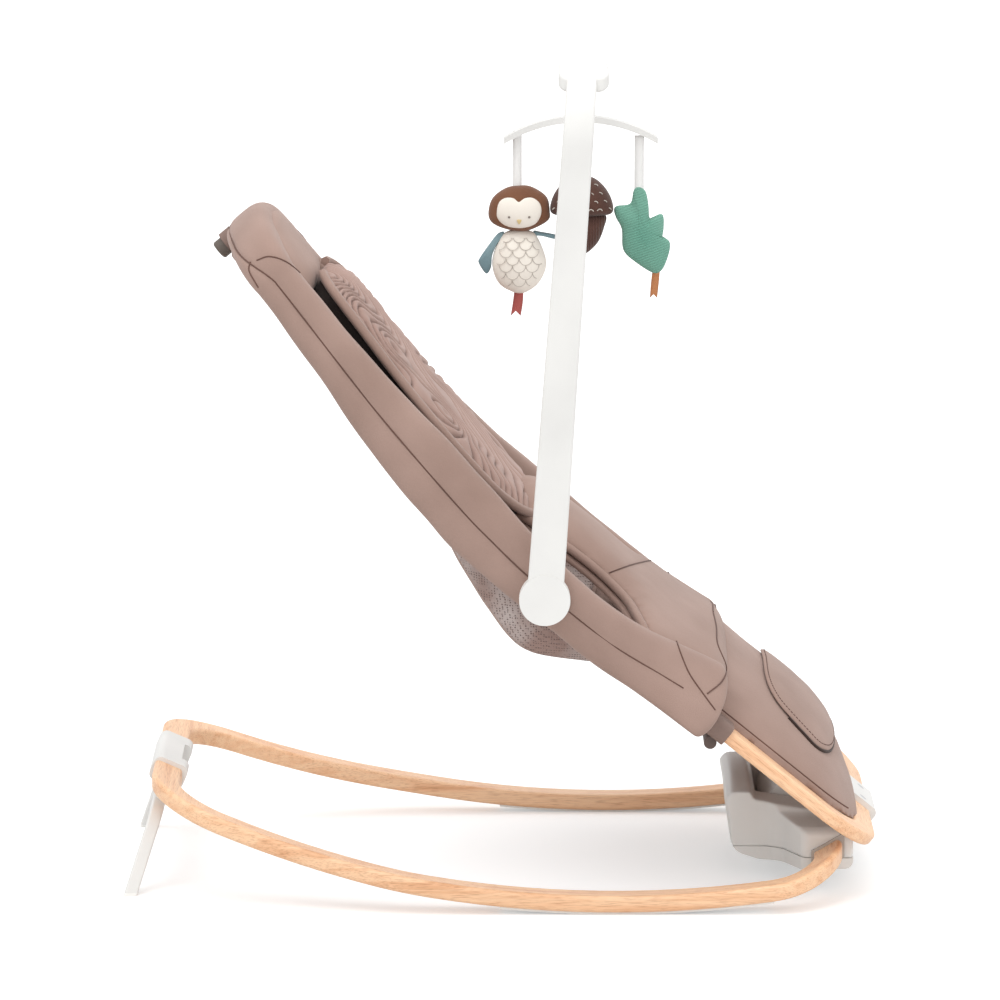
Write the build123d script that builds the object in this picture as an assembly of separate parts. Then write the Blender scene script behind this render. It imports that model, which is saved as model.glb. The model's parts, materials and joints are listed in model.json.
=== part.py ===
"""Infant bouncer seat: rocker base, hinged sling seat, kickstand and toy bar.

Millimetres, +Z up, front (foot end) at -Y. One STEP file per piece goes to parts/.
"""

import os
from math import asin, atan2, cos, degrees, radians, sin, tan

from build123d import *

# Rocker base
ROCKER_RADIUS = 1060.0
ROCKER_LOW_Y = -107.0
STRIP_THICK = 2.0
STRIP_WIDE = 18.0
RAIL_THICK = 16.0
RAIL_WIDE = 26.0
RAIL_ROUND = 4.0
RAIL_HALF_SPAN = 200.0
REAR_HALF_SPAN = 159.0
REAR_CROSS_Y = 315.0
FRONT_CROSS_Y = -308.0
FRONT_TURN_RADIUS = 138.0
FRONT_TURN_ANGLE = 22.0

# Rear connector and kickstand
CONNECTOR_HALF = 56.0
CONNECTOR_WALL = 4.0
KNUCKLE_HALF = 29.0
KNUCKLE_RADIUS = 9.0
PIN_RADIUS = 3.0
RUNNING_GAP = 0.05
STAND_LEAN = 18.2
STAND_THICK = 12.0
STAND_LEG_WIDE = 15.0
STAND_FOOT_HALF = 136.0
FOOT_THICK = 3.0

# Hub and hinge of the seat
AXLE_BEHIND_CROSS = 43.0
AXLE_Y = FRONT_CROSS_Y + AXLE_BEHIND_CROSS
AXLE_Z = 62.0
AXLE_RADIUS = 6.0
HUB_HALF = 84.0
HUB_WING_HALF = 131.0
HUB_LOW = 21.0
BRACKET_HALF = 56.0
BRACKET_GAP = 1.5
SPLIT_Z = HUB_LOW + 13.0

# Wooden seat loop, in a plane that slopes up to the rear
LOOP_SLOPE = 39.2
LOOP_FRONT_Y = AXLE_Y - 75.0
LOOP_FRONT_Z = AXLE_Z - 4.0
LOOP_HALF_SPAN = 170.0
LOOP_LENGTH = 188.0
LOOP_WIDE = 26.0
LOOP_THICK = 13.0
LOOP_CORNER = 55.0

# Backrest tube and padded cover
TUBE_RADIUS = 7.0
TUBE_BEND = 40.0
SLEEVE_WIDE = 34.0
PANEL_THICK = 6.0
SEAM_GAP = 0.4
HEAD_RISE = 46.0
HEAD_LOW = -17.0
HEAD_HIGH = 36.0
HEAD_BEND = 26.0
PAD_LENGTH = LOOP_LENGTH + 14.0
PAD_HIGH = 52.0
PATCH_THICK = 5.0

# Toy bar
BAR_THICK = 12.0
BAR_FOOT_WIDE = 33.5
BAR_TOP_WIDE = 27.0
BAR_LEAN = 35.0
BAR_HEIGHT = 462.0
BAR_DISC_RADIUS = 23.5
BAR_SOCKET_RADIUS = 19.0
BAR_PIN_RADIUS = 5.0
ARM_WIDE = 47.0
ARM_DROP = 28.0
ARM_ROUND = 2.5
BOW_THICK = 6.0
BOW_WIDE = 16.0
BOW_HALF = 72.5
BOW_RISE = 20.5
RIBBON_THICK = 1.6
STRAP_GAP = 0.5

# Side stations of the seat from the knee to the head: half span, Y and Z from the rear end of the
# wooden loop, lower and upper edge of the sleeve, sag of the sling
STATION_TABLE = [
    (172.0, 2.3, 29.2, -36.0, 28.0, 20.0),
    (181.0, 44.3, 49.2, -33.0, 30.0, 24.0),
    (190.0, 89.3, 75.2, -31.0, 30.0, 28.0),
    (198.0, 132.3, 110.2, -24.0, 28.0, 54.0),
    (190.0, 174.3, 142.2, -24.0, 33.0, 61.0),
    (170.0, 206.3, 166.2, -21.0, 38.0, 44.0),
    (154.0, 230.3, 190.2, -20.0, 38.0, 30.0),
    (138.0, 272.3, 240.2, -27.0, 34.0, 26.0),
    (125.0, 311.3, 286.2, -26.0, 29.0, 24.0),
    (113.0, 348.3, 330.2, -21.0, 26.0, 22.0),
    (104.0, 380.3, 368.2, -18.0, 26.0, 20.0),
    (98.0, 406.3, 399.2, -16.0, 26.0, 16.0),
]
LOOP_END_Y = LOOP_FRONT_Y + LOOP_LENGTH * cos(radians(LOOP_SLOPE))
LOOP_END_Z = LOOP_FRONT_Z + LOOP_LENGTH * sin(radians(LOOP_SLOPE))
STATIONS = [(half, LOOP_END_Y + y, LOOP_END_Z + z, *rest) for half, y, z, *rest in STATION_TABLE]
KNEE = 0
POCKET_FRONT = 2
HIP = 3
POCKET_REAR = 6
HEAD = len(STATIONS) - 1

# Pivot of the toy bar on the near side, between the hip and the next station
BAR_X = -(STATIONS[HIP][0] + STATIONS[HIP + 1][0]) / 2 - SLEEVE_WIDE / 2 - 13
BAR_Y = (STATIONS[HIP][1] + STATIONS[HIP + 1][1]) / 2
BAR_Z = (STATIONS[HIP][2] + STATIONS[HIP + 1][2]) / 2 - 1
BAR_TOP_Y = BAR_Y - BAR_LEAN
BAR_TOP_Z = BAR_Z + BAR_HEIGHT

pieces = {}


def outline(corners):
    """Closed face with straight sides; each corner is (x, y, radius)."""
    count = len(corners)
    spans = []
    for index in range(count):
        before = Vector(*corners[index - 1][:2])
        here = Vector(*corners[index][:2])
        after = Vector(*corners[(index + 1) % count][:2])
        radius = corners[index][2]
        if radius <= 0:
            spans.append((here, None, here))
            continue
        to_before = (before - here).normalized()
        to_after = (after - here).normalized()
        half = radians(to_before.get_angle(to_after)) / 2
        middle = (to_before + to_after).normalized()
        centre = here + middle * (radius / sin(half))
        reach = radius / tan(half)
        spans.append((here + to_before * reach, centre - middle * radius, here + to_after * reach))
    edges = []
    for index in range(count):
        start, bulge, end = spans[index]
        if bulge is not None:
            edges.append(ThreePointArc(start, bulge, end))
        following = spans[(index + 1) % count][0]
        if (following - end).length > 1e-6:
            edges.append(Line(end, following))
    return make_face(edges)


def ribbon(points, width):
    """Band of constant width along a bent line; each point is (x, y, bend radius)."""
    left = []
    right = []
    last = len(points) - 1
    for index, (x, y, radius) in enumerate(points):
        here = Vector(x, y)
        ahead = Vector(*points[min(index + 1, last)][:2])
        behind = Vector(*points[max(index - 1, 0)][:2])
        arriving = (here - behind if index else ahead - here).normalized()
        leaving = (ahead - here if index < last else here - behind).normalized()
        side = Vector(-arriving.Y, arriving.X)
        mitre = (side + Vector(-leaving.Y, leaving.X)).normalized()
        reach = width / 2 / mitre.dot(side)
        turn = arriving.X * leaving.Y - arriving.Y * leaving.X
        shrink = width / 2 if turn > 0 else -width / 2
        inner = radius - shrink if radius > 0 else 0
        outer = radius + shrink if radius > 0 else 0
        left.append((x + mitre.X * reach, y + mitre.Y * reach, inner))
        right.append((x - mitre.X * reach, y - mitre.Y * reach, outer))
    return outline(left + right[::-1])


def prism_x(face, low, high):
    """Extrude a face drawn in (Y, Z) from one X to another."""
    return extrude(Plane.YZ.offset(low) * face, amount=high - low)


def prism_y(face, low, high):
    """Extrude a face drawn in (X, Z) from one Y to another."""
    plane = Plane(origin=(0, high, 0), x_dir=(1, 0, 0), z_dir=(0, -1, 0))
    return extrude(plane * face, amount=high - low)


def prism_z(face, low, high):
    """Extrude a face drawn in (X, Y) from one Z to another."""
    return extrude(Plane.XY.offset(low) * face, amount=high - low)


def rod_x(y, z, radius, low, high):
    """Round bar along X."""
    return prism_x(Pos(y, z) * Circle(radius), low, high)


def bar_between(start, end, radius):
    """Round bar from one point to another."""
    direction = Vector(*end) - Vector(*start)
    return extrude(Plane(origin=start, z_dir=direction) * Circle(radius), amount=direction.length)


def ellipsoid(centre, half_x, half_y, half_z):
    """Stuffed oval form."""
    return Pos(*centre) * scale(Sphere(1), by=(half_x, half_y, half_z))


def largest(shape):
    """The biggest solid left after cutting."""
    return shape.solids().sort_by(SortBy.VOLUME)[-1]


def mirrored(shape):
    """The same piece on the other side."""
    return mirror(shape, about=Plane.YZ)


# Rocker rails: plan outline crossed with the side profile


def rocker_point(radius, angle):
    """Point (Y, Z) at an angle from straight down, seen from the rocker's centre."""
    return Vector(ROCKER_LOW_Y + radius * sin(angle), ROCKER_RADIUS - radius * cos(angle))


RAIL_BOTTOM = ROCKER_RADIUS - STRIP_THICK
RAIL_TOP = RAIL_BOTTOM - RAIL_THICK
RAIL_MIDDLE = RAIL_BOTTOM - RAIL_THICK / 2
REAR_ANGLE = asin((REAR_CROSS_Y + RAIL_WIDE - ROCKER_LOW_Y) / RAIL_BOTTOM)
TURN_START = asin((FRONT_CROSS_Y + 46 - ROCKER_LOW_Y) / RAIL_BOTTOM)
TURN_END = TURN_START - radians(FRONT_TURN_ANGLE)
CONNECTOR_TILT = asin((REAR_CROSS_Y - ROCKER_LOW_Y) / RAIL_MIDDLE)
CONNECTOR_Z = ROCKER_RADIUS - RAIL_MIDDLE * cos(CONNECTOR_TILT)


def rail_side_profile():
    """Curved band of the rail seen from the side."""
    centre = rocker_point(RAIL_BOTTOM - FRONT_TURN_RADIUS, TURN_START)
    ahead = Vector(-cos(TURN_END), -sin(TURN_END)) * 60

    def turned(radius, angle):
        return centre + Vector(radius * sin(angle), -radius * cos(angle))

    upper = FRONT_TURN_RADIUS - RAIL_THICK
    middle = (TURN_START + TURN_END) / 2
    low_end = turned(FRONT_TURN_RADIUS, TURN_END)
    high_end = turned(upper, TURN_END)
    sweep = (REAR_ANGLE + TURN_START) / 2
    edges = [
        ThreePointArc(
            rocker_point(RAIL_BOTTOM, REAR_ANGLE),
            rocker_point(RAIL_BOTTOM, sweep),
            rocker_point(RAIL_BOTTOM, TURN_START),
        ),
        ThreePointArc(turned(FRONT_TURN_RADIUS, TURN_START), turned(FRONT_TURN_RADIUS, middle), low_end),
        Line(low_end, low_end + ahead),
        Line(low_end + ahead, high_end + ahead),
        Line(high_end + ahead, high_end),
        ThreePointArc(high_end, turned(upper, middle), turned(upper, TURN_START)),
        ThreePointArc(
            rocker_point(RAIL_TOP, TURN_START),
            rocker_point(RAIL_TOP, sweep),
            rocker_point(RAIL_TOP, REAR_ANGLE),
        ),
        Line(rocker_point(RAIL_TOP, REAR_ANGLE), rocker_point(RAIL_BOTTOM, REAR_ANGLE)),
    ]
    return make_face(edges)


def rail_plan():
    """Half loop of the left rail seen from above."""
    return ribbon(
        [
            (-KNUCKLE_HALF - 9, REAR_CROSS_Y, 0),
            (-REAR_HALF_SPAN, REAR_CROSS_Y, 70),
            (-RAIL_HALF_SPAN, 90, 300),
            (-RAIL_HALF_SPAN, FRONT_CROSS_Y, 60),
            (-BRACKET_HALF - 16, FRONT_CROSS_Y, 0),
        ],
        RAIL_WIDE,
    )


rail_block = prism_z(rail_plan(), -20, 200)
rail_band = prism_x(rail_side_profile(), -RAIL_HALF_SPAN - 40, 0)
rail = (rail_block & rail_band).solid()
rail_ends = rail.faces().filter_by(Axis.X).sort_by(Axis.X)[-2:]
end_edges = [edge for face in rail_ends for edge in face.edges()]
long_edges = [
    edge
    for edge in rail.edges()
    if abs(edge.tangent_at(0.5).Z) < 0.75 and not any(edge.is_same(other) for other in end_edges)
]
rail = fillet(long_edges, RAIL_ROUND).solid()
pieces["base_rail_left"] = rail
pieces["base_rail_right"] = mirrored(rail)


def strip_profile():
    """Thin band under the rail, from the middle to the front turn."""
    front = TURN_START + radians(0.4)
    rear = -asin(ROCKER_LOW_Y / RAIL_BOTTOM)
    middle = (front + rear) / 2
    low = [rocker_point(ROCKER_RADIUS, angle) for angle in (rear, middle, front)]
    high = [rocker_point(RAIL_BOTTOM, angle) for angle in (front, middle, rear)]
    ends = [Line(low[2], high[0]), Line(high[2], low[0])]
    return make_face([ThreePointArc(*low), ThreePointArc(*high), *ends])


strip = prism_x(strip_profile(), -RAIL_HALF_SPAN - STRIP_WIDE / 2, -RAIL_HALF_SPAN + STRIP_WIDE / 2)
pieces["rail_strip_left"] = strip.solid()
pieces["rail_strip_right"] = mirrored(strip.solid())

# Rear connector with the kickstand hinge

connector_high = RAIL_THICK / 2 + CONNECTOR_WALL
connector_deep = RAIL_WIDE / 2 + CONNECTOR_WALL
connector_face = outline(
    [
        (-connector_deep, -connector_high, 7),
        (connector_deep, -connector_high, 7),
        (connector_deep, connector_high, 7),
        (-connector_deep, connector_high, 7),
    ]
)
tilted = Pos(REAR_CROSS_Y, CONNECTOR_Z) * Rot(0, 0, degrees(CONNECTOR_TILT))
connector = prism_x(tilted * connector_face, -CONNECTOR_HALF, CONNECTOR_HALF)
slot_half = KNUCKLE_HALF + 0.5
slot_radius = KNUCKLE_RADIUS + 0.6
slot = rod_x(REAR_CROSS_Y, CONNECTOR_Z, slot_radius, -slot_half, slot_half)
slot_front = Pos(REAR_CROSS_Y - 30, CONNECTOR_Z - 15) * Rectangle(60, 46)
slot_under = Pos(REAR_CROSS_Y + slot_radius / 2, CONNECTOR_Z - 30) * Rectangle(slot_radius, 60)
slot += prism_x(slot_front, -slot_half, slot_half)
slot += prism_x(slot_under, -slot_half, slot_half)
stand_pin = rod_x(REAR_CROSS_Y, CONNECTOR_Z, PIN_RADIUS, -slot_half - 7, slot_half + 7)
connector = connector - slot - pieces["base_rail_left"] - pieces["base_rail_right"] - stand_pin
pieces["rear_connector"] = connector.solid()
pieces["kickstand_pin"] = stand_pin.solid()

# Kickstand: a wishbone drawn in its own leaning plane (X across, Y up the leg)

stand_plane = Plane(
    origin=(0, REAR_CROSS_Y, CONNECTOR_Z),
    x_dir=(1, 0, 0),
    z_dir=(0, -cos(radians(STAND_LEAN)), -sin(radians(STAND_LEAN))),
)
stand_reach = CONNECTOR_Z / cos(radians(STAND_LEAN))
leg_line = [
    (-STAND_FOOT_HALF - 4, -stand_reach - 10, 0),
    (-STAND_FOOT_HALF + 36, -33, 24),
    (STAND_FOOT_HALF - 36, -33, 24),
    (STAND_FOOT_HALF + 4, -stand_reach - 10, 0),
]
stand_shape = ribbon(leg_line, STAND_LEG_WIDE) + Pos(0, -20) * Rectangle(2 * KNUCKLE_HALF - 14, 40)
stand = extrude(stand_plane * stand_shape, amount=STAND_THICK / 2, both=True)
stand = fillet(stand.edges().filter_by(lambda edge: abs(edge.center().Z) > 0 and edge.length > 30), 2)
stand += rod_x(REAR_CROSS_Y, CONNECTOR_Z, KNUCKLE_RADIUS, -KNUCKLE_HALF, KNUCKLE_HALF)
stand -= rod_x(REAR_CROSS_Y, CONNECTOR_Z, PIN_RADIUS + RUNNING_GAP, -KNUCKLE_HALF - 1, KNUCKLE_HALF + 1)
floor_slab = Pos(0, REAR_CROSS_Y, -50) * Box(600, 300, 100)
lifted_slab = Pos(0, 0, FOOT_THICK) * floor_slab
stand_feet = (stand & lifted_slab) - floor_slab
pieces["kickstand"] = (stand - lifted_slab).solid()
pieces["kickstand_feet"] = stand_feet

# Hub: plan, side and front outlines crossed, then split into housing and bottom plate

hub_side = outline(
    [
        (AXLE_Y + 46, HUB_LOW + 9, 18),
        (AXLE_Y + 52, AXLE_Z + 38, 20),
        (AXLE_Y + 45, AXLE_Z + 52, 6),
        (AXLE_Y + 28, AXLE_Z + 51, 4),
        (AXLE_Y + 24, AXLE_Z + 36, 4),
        (AXLE_Y - 35, AXLE_Z + 20, 16),
        (FRONT_CROSS_Y - 24, AXLE_Z - 6, 12),
        (FRONT_CROSS_Y - 24, HUB_LOW + 3, 8),
        (AXLE_Y + 19, HUB_LOW, 18),
    ]
)
hub_plan = outline(
    [
        (-HUB_HALF, AXLE_Y + 65, 20),
        (HUB_HALF, AXLE_Y + 65, 20),
        (HUB_HALF, AXLE_Y + 3, 30),
        (HUB_WING_HALF, FRONT_CROSS_Y + 23, 10),
        (HUB_WING_HALF, FRONT_CROSS_Y - 32, 0),
        (-HUB_WING_HALF, FRONT_CROSS_Y - 32, 0),
        (-HUB_WING_HALF, FRONT_CROSS_Y + 23, 10),
        (-HUB_HALF, AXLE_Y + 3, 30),
    ]
)
hub_front = outline(
    [
        (-HUB_WING_HALF - 1, HUB_LOW - 11, 0),
        (HUB_WING_HALF + 1, HUB_LOW - 11, 0),
        (HUB_WING_HALF + 1, AXLE_Z - 4, 10),
        (HUB_HALF + 8, AXLE_Z + 12, 14),
        (HUB_HALF - 2, AXLE_Z + 68, 0),
        (-HUB_HALF + 2, AXLE_Z + 68, 0),
        (-HUB_HALF - 8, AXLE_Z + 12, 14),
        (-HUB_WING_HALF - 1, AXLE_Z - 4, 10),
    ]
)
hub = prism_x(hub_side, -HUB_WING_HALF - 9, HUB_WING_HALF + 9)
hub = hub & prism_z(hub_plan, 0, AXLE_Z + 80) & prism_y(hub_front, FRONT_CROSS_Y - 42, AXLE_Y + 75)
pocket_half = BRACKET_HALF + BRACKET_GAP
pocket_side = outline(
    [
        (AXLE_Y + 23, AXLE_Z - 25, 12),
        (AXLE_Y + 23, AXLE_Z + 80, 0),
        (FRONT_CROSS_Y - 42, AXLE_Z + 80, 0),
        (FRONT_CROSS_Y - 42, HUB_LOW + 10, 0),
        (AXLE_Y - 40, HUB_LOW + 10, 10),
    ]
)
axle = rod_x(AXLE_Y, AXLE_Z, AXLE_RADIUS, -pocket_half - 18, pocket_half + 18)
hub = hub - prism_x(pocket_side, -pocket_half, pocket_half) - axle
hub = hub - pieces["base_rail_left"] - pieces["base_rail_right"]
hub_screws = None
screw_recesses = None
screw_half = (HUB_HALF + BRACKET_HALF) / 2
for screw_x in (-screw_half, screw_half):
    for screw_y in (AXLE_Y + 33, AXLE_Y - 20):
        head = Pos(screw_x, screw_y, SPLIT_Z - 6) * Cylinder(4.5, 4)
        shank = Pos(screw_x, screw_y, SPLIT_Z + 5) * Cylinder(2, 18)
        recess = Pos(screw_x, screw_y, SPLIT_Z - 18) * Cylinder(4.5, 20)
        screw = head + shank
        hub_screws = screw if hub_screws is None else hub_screws + screw
        screw_recesses = recess if screw_recesses is None else screw_recesses + recess
below = Pos(0, FRONT_CROSS_Y, SPLIT_Z - 50) * Box(400, 400, 100)
pieces["hub_base_plate"] = ((hub & below) - hub_screws - screw_recesses).solid()
pieces["hub_housing"] = ((hub - below) - hub_screws).solid()
pieces["hub_screws"] = hub_screws
pieces["hub_axle"] = axle.solid()

# Gaskets where the rails enter the hub

gasket_band = Pos(-HUB_WING_HALF - 1, FRONT_CROSS_Y, 40) * Box(2, RAIL_WIDE + 5, 60)
gasket = gasket_band & prism_x(offset(rail_side_profile(), 2.5), -200, 0)
gasket = (gasket - pieces["base_rail_left"]).solid()
pieces["rail_gaskets"] = gasket + mirrored(gasket)

# Wooden seat loop in its sloping plane (X across, Y up the slope)

loop_plane = Plane(
    origin=(0, LOOP_FRONT_Y, LOOP_FRONT_Z),
    x_dir=(1, 0, 0),
    z_dir=(0, -sin(radians(LOOP_SLOPE)), cos(radians(LOOP_SLOPE))),
)


def on_loop(x, along, above):
    """World point from loop coordinates."""
    return loop_plane.from_local_coords((x, along, above))


def slope_prism(face, low, high):
    """Extrude a face drawn in (along the slope, above it) from one X to another."""
    placed = Pos(LOOP_FRONT_Y, LOOP_FRONT_Z) * Rot(0, 0, LOOP_SLOPE) * face
    return prism_x(placed, low, high)


loop_shape = ribbon(
    [
        (-LOOP_HALF_SPAN, LOOP_LENGTH, 0),
        (-LOOP_HALF_SPAN, 0, LOOP_CORNER),
        (LOOP_HALF_SPAN, 0, LOOP_CORNER),
        (LOOP_HALF_SPAN, LOOP_LENGTH, 0),
    ],
    LOOP_WIDE,
)
loop = extrude(loop_plane * loop_shape, amount=LOOP_THICK / 2, both=True)
flat_faces = [face for face in loop.faces() if abs(face.normal_at().dot(loop_plane.z_dir)) > 0.99]
rim_edges = [edge for face in flat_faces for edge in face.edges()]
rim_edges = [edge for edge in rim_edges if edge.length > LOOP_WIDE + 1]
loop = fillet(rim_edges, RAIL_ROUND)

# Seat bracket on the axle, clamp cap on the cross member

axle_local = loop_plane.to_local_coords(Vector(0, AXLE_Y, AXLE_Z))
axle_along = axle_local.Y
axle_above = axle_local.Z
knuckle = 17.0
seat_face = -LOOP_THICK / 2
bracket_shape = outline(
    [
        (-LOOP_WIDE / 2, seat_face, 0),
        (axle_along + knuckle, seat_face, 6),
        (axle_along + knuckle, axle_above, 0),
        (axle_along, axle_above - knuckle, 0),
        (-LOOP_WIDE / 2, seat_face - 12, 5),
    ]
)
bracket = slope_prism(bracket_shape, -BRACKET_HALF, BRACKET_HALF)
bracket += rod_x(AXLE_Y, AXLE_Z, knuckle, -BRACKET_HALF, BRACKET_HALF)
bracket -= rod_x(AXLE_Y, AXLE_Z, AXLE_RADIUS + RUNNING_GAP, -BRACKET_HALF - 1, BRACKET_HALF + 1)
cap_half = 36.0
cap_shape = outline(
    [
        (-LOOP_WIDE / 2 - 5, seat_face, 4),
        (-LOOP_WIDE / 2 - 5, LOOP_THICK / 2 + 5, 6),
        (LOOP_WIDE / 2 + 3, LOOP_THICK / 2 + 5, 4),
        (LOOP_WIDE / 2 + 3, seat_face, 0),
    ]
)
cap = slope_prism(cap_shape, -cap_half, cap_half)
clamp_screws = None
for screw_x in (-22, 22):
    screw_top = on_loop(screw_x, 0, LOOP_THICK / 2 + 5)
    shank = bar_between(on_loop(screw_x, 0, seat_face - 7.5), on_loop(screw_x, 0, LOOP_THICK / 2 + 4), 2.0)
    head = bar_between(on_loop(screw_x, 0, LOOP_THICK / 2 + 2.5), screw_top, 4.0)
    screw = shank + head
    clamp_screws = screw if clamp_screws is None else clamp_screws + screw
loop = loop - clamp_screws
pieces["seat_bracket"] = (bracket - clamp_screws).solid()
pieces["bracket_clamp_cap"] = (cap - loop - clamp_screws).solid()
pieces["clamp_screws"] = clamp_screws
pieces["seat_wood_loop"] = loop.solid()

# Backrest tube from one ferrule over the head to the other

head_station = STATIONS[HEAD]
rear_station = STATIONS[POCKET_REAR]
back_slope = atan2(head_station[2] - rear_station[2], head_station[1] - rear_station[1])
head_y = head_station[1] + HEAD_RISE * cos(back_slope)
head_z = head_station[2] + HEAD_RISE * sin(back_slope)
head_half = head_station[0] - 5
tube_foot = on_loop(-LOOP_HALF_SPAN, LOOP_LENGTH + 2, 0)
waist = [(low + high) / 2 for low, high in zip(STATIONS[POCKET_REAR - 1], rear_station)]
tube_points = [
    tuple(tube_foot),
    (-STATIONS[HIP][0], STATIONS[HIP][1], STATIONS[HIP][2] - 2),
    (-waist[0], waist[1], waist[2] - 1),
    (-head_half, head_y, head_z),
]
tube_path = FilletPolyline(
    *tube_points,
    *[(-x, y, z) for x, y, z in reversed(tube_points)],
    radius=TUBE_BEND,
)
tube_start = Plane(origin=tube_path @ 0, z_dir=tube_path % 0)
tube = sweep(tube_start * Circle(TUBE_RADIUS), path=tube_path)
tube_wall = sweep(tube_start * Circle(TUBE_RADIUS - 1.5), path=tube_path)
pieces["backrest_tube"] = (tube - tube_wall).solid()

# Ferrules join the wooden loop to the tube

ferrule_plane = Plane(
    origin=on_loop(-LOOP_HALF_SPAN, LOOP_LENGTH - 22, 0),
    x_dir=(1, 0, 0),
    z_dir=(0, cos(radians(LOOP_SLOPE)), sin(radians(LOOP_SLOPE))),
)
ferrule = extrude(ferrule_plane * RectangleRounded(LOOP_WIDE + 6, LOOP_THICK + 7, 6), amount=44)
ferrule = (ferrule - loop - tube).solid()
pieces["ferrule_left"] = ferrule
pieces["ferrule_right"] = mirrored(ferrule)

# Cross bar that spreads the loop under the seat

bar_along = LOOP_LENGTH - 14
bar_above = -LOOP_THICK / 2 - 9
cross_bar = bar_between(
    on_loop(-LOOP_HALF_SPAN - 6, bar_along, bar_above),
    on_loop(LOOP_HALF_SPAN + 6, bar_along, bar_above),
    6.0,
)
pieces["cross_bar"] = (cross_bar - ferrule - mirrored(ferrule)).solid()

# Padded cover, lofted between the side stations


def station_slope(index):
    """Direction of the side line at a station, from the foot to the head."""
    low = STATIONS[max(index - 1, 0)]
    high = STATIONS[min(index + 1, HEAD)]
    return atan2(high[2] - low[2], high[1] - low[1])


def station_plane(index, half_span):
    """Plane across the seat at a station: X across, Y towards the sitter."""
    slope = station_slope(index) if index < HEAD else back_slope
    _, y, z = STATIONS[index][:3]
    return Plane(origin=(half_span, y, z), x_dir=(1, 0, 0), z_dir=(0, -cos(slope), -sin(slope)))


def sleeve_section(index):
    """Rounded section of the left sleeve at a station."""
    half_span, _, _, low, high, _ = STATIONS[index]
    section = RectangleRounded(SLEEVE_WIDE, high - low, SLEEVE_WIDE / 2 - 3)
    return station_plane(index, -half_span) * Pos(0, (low + high) / 2) * section


plain_sleeve = loft([sleeve_section(index) for index in range(KNEE, HEAD + 1)])
plain_sleeve = plain_sleeve - tube - ferrule - cross_bar
disc_inner = BAR_X + BAR_THICK / 2
socket_end = disc_inner + 30
bar_pin = rod_x(BAR_Y, BAR_Z, BAR_PIN_RADIUS, BAR_X - 2, disc_inner + 8)
socket = rod_x(BAR_Y, BAR_Z, BAR_SOCKET_RADIUS, disc_inner + 0.4, socket_end) - tube
socket_hole = rod_x(BAR_Y, BAR_Z, BAR_SOCKET_RADIUS, disc_inner - 5, socket_end)
pieces["bar_socket"] = largest(socket - bar_pin)
pieces["bar_pin"] = bar_pin.solid()
pieces["sleeve_left"] = (plain_sleeve - socket_hole).solid()
pieces["sleeve_right"] = mirrored(plain_sleeve.solid())

head_plane = Plane(
    origin=(0, head_y, head_z),
    x_dir=(1, 0, 0),
    z_dir=(0, -sin(back_slope), cos(back_slope)),
)
head_shape = ribbon(
    [
        (-head_station[0] - 2, -HEAD_RISE - 14, 0),
        (-head_half, 0, HEAD_BEND),
        (head_half, 0, HEAD_BEND),
        (head_station[0] + 2, -HEAD_RISE - 14, 0),
    ],
    SLEEVE_WIDE,
)
bolster = extrude(head_plane.offset(HEAD_LOW) * head_shape, amount=HEAD_HIGH - HEAD_LOW)
head_faces = [face for face in bolster.faces() if abs(face.normal_at().dot(head_plane.z_dir)) > 0.99]
head_rims = [edge for face in head_faces for edge in face.edges() if edge.length > SLEEVE_WIDE + 1]
bolster = fillet(head_rims, SLEEVE_WIDE / 2 - 3)
head_seam = station_plane(HEAD, 0).offset(-SEAM_GAP)
bolster = split(bolster, bisect_by=head_seam, keep=Keep.BOTTOM)
pieces["head_bolster"] = largest(bolster - tube)


def strip_face(half, edge, middle, thick):
    """Sagging strip: edge and middle are heights of the upper side, thick is the panel."""
    upper = ThreePointArc((-half, edge), (0, middle), (half, edge))
    lower = ThreePointArc((half, edge - thick), (0, middle - thick), (-half, edge - thick))
    right = Line((half, edge), (half, edge - thick))
    left = Line((-half, edge - thick), (-half, edge))
    return make_face([upper, right, lower, left])


def inner_half(index):
    """Half width between the sleeves at a station."""
    return STATIONS[index][0] - SLEEVE_WIDE / 2 - SEAM_GAP


def back_section(index):
    """Section of the back panel at a station."""
    face = strip_face(inner_half(index), -4, -STATIONS[index][5], PANEL_THICK)
    return station_plane(index, 0) * face


panel_top = HEAD_RISE - SLEEVE_WIDE / 2 - SEAM_GAP
top_face = strip_face(head_half - SLEEVE_WIDE / 2, -4, -head_station[5] + 4, PANEL_THICK)
top_section = station_plane(HEAD, 0).offset(-panel_top) * top_face
back_panel = loft([back_section(index) for index in range(POCKET_REAR, HEAD + 1)] + [top_section])
back_panel = back_panel - pieces["sleeve_left"] - pieces["sleeve_right"] - pieces["head_bolster"]
pieces["back_panel"] = largest(back_panel)


def pocket_corner(index):
    """Half width and height of the seam between gusset and seat bottom at a station."""
    return inner_half(index) - 16, -0.8 * STATIONS[index][5]


def bottom_section(index):
    """Section of the seat bottom at a station."""
    half, height = pocket_corner(index)
    return station_plane(index, 0) * strip_face(half, height, -STATIONS[index][5], PANEL_THICK)


def gusset_section(index):
    """Section of the left mesh gusset at a station."""
    half, height = pocket_corner(index)
    outer = inner_half(index)
    corners = [
        (-outer, -4, 0),
        (-half - SEAM_GAP, height, 0),
        (-half - SEAM_GAP, height - PANEL_THICK, 0),
        (-outer, -4 - PANEL_THICK, 0),
    ]
    return station_plane(index, 0) * outline(corners)


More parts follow.
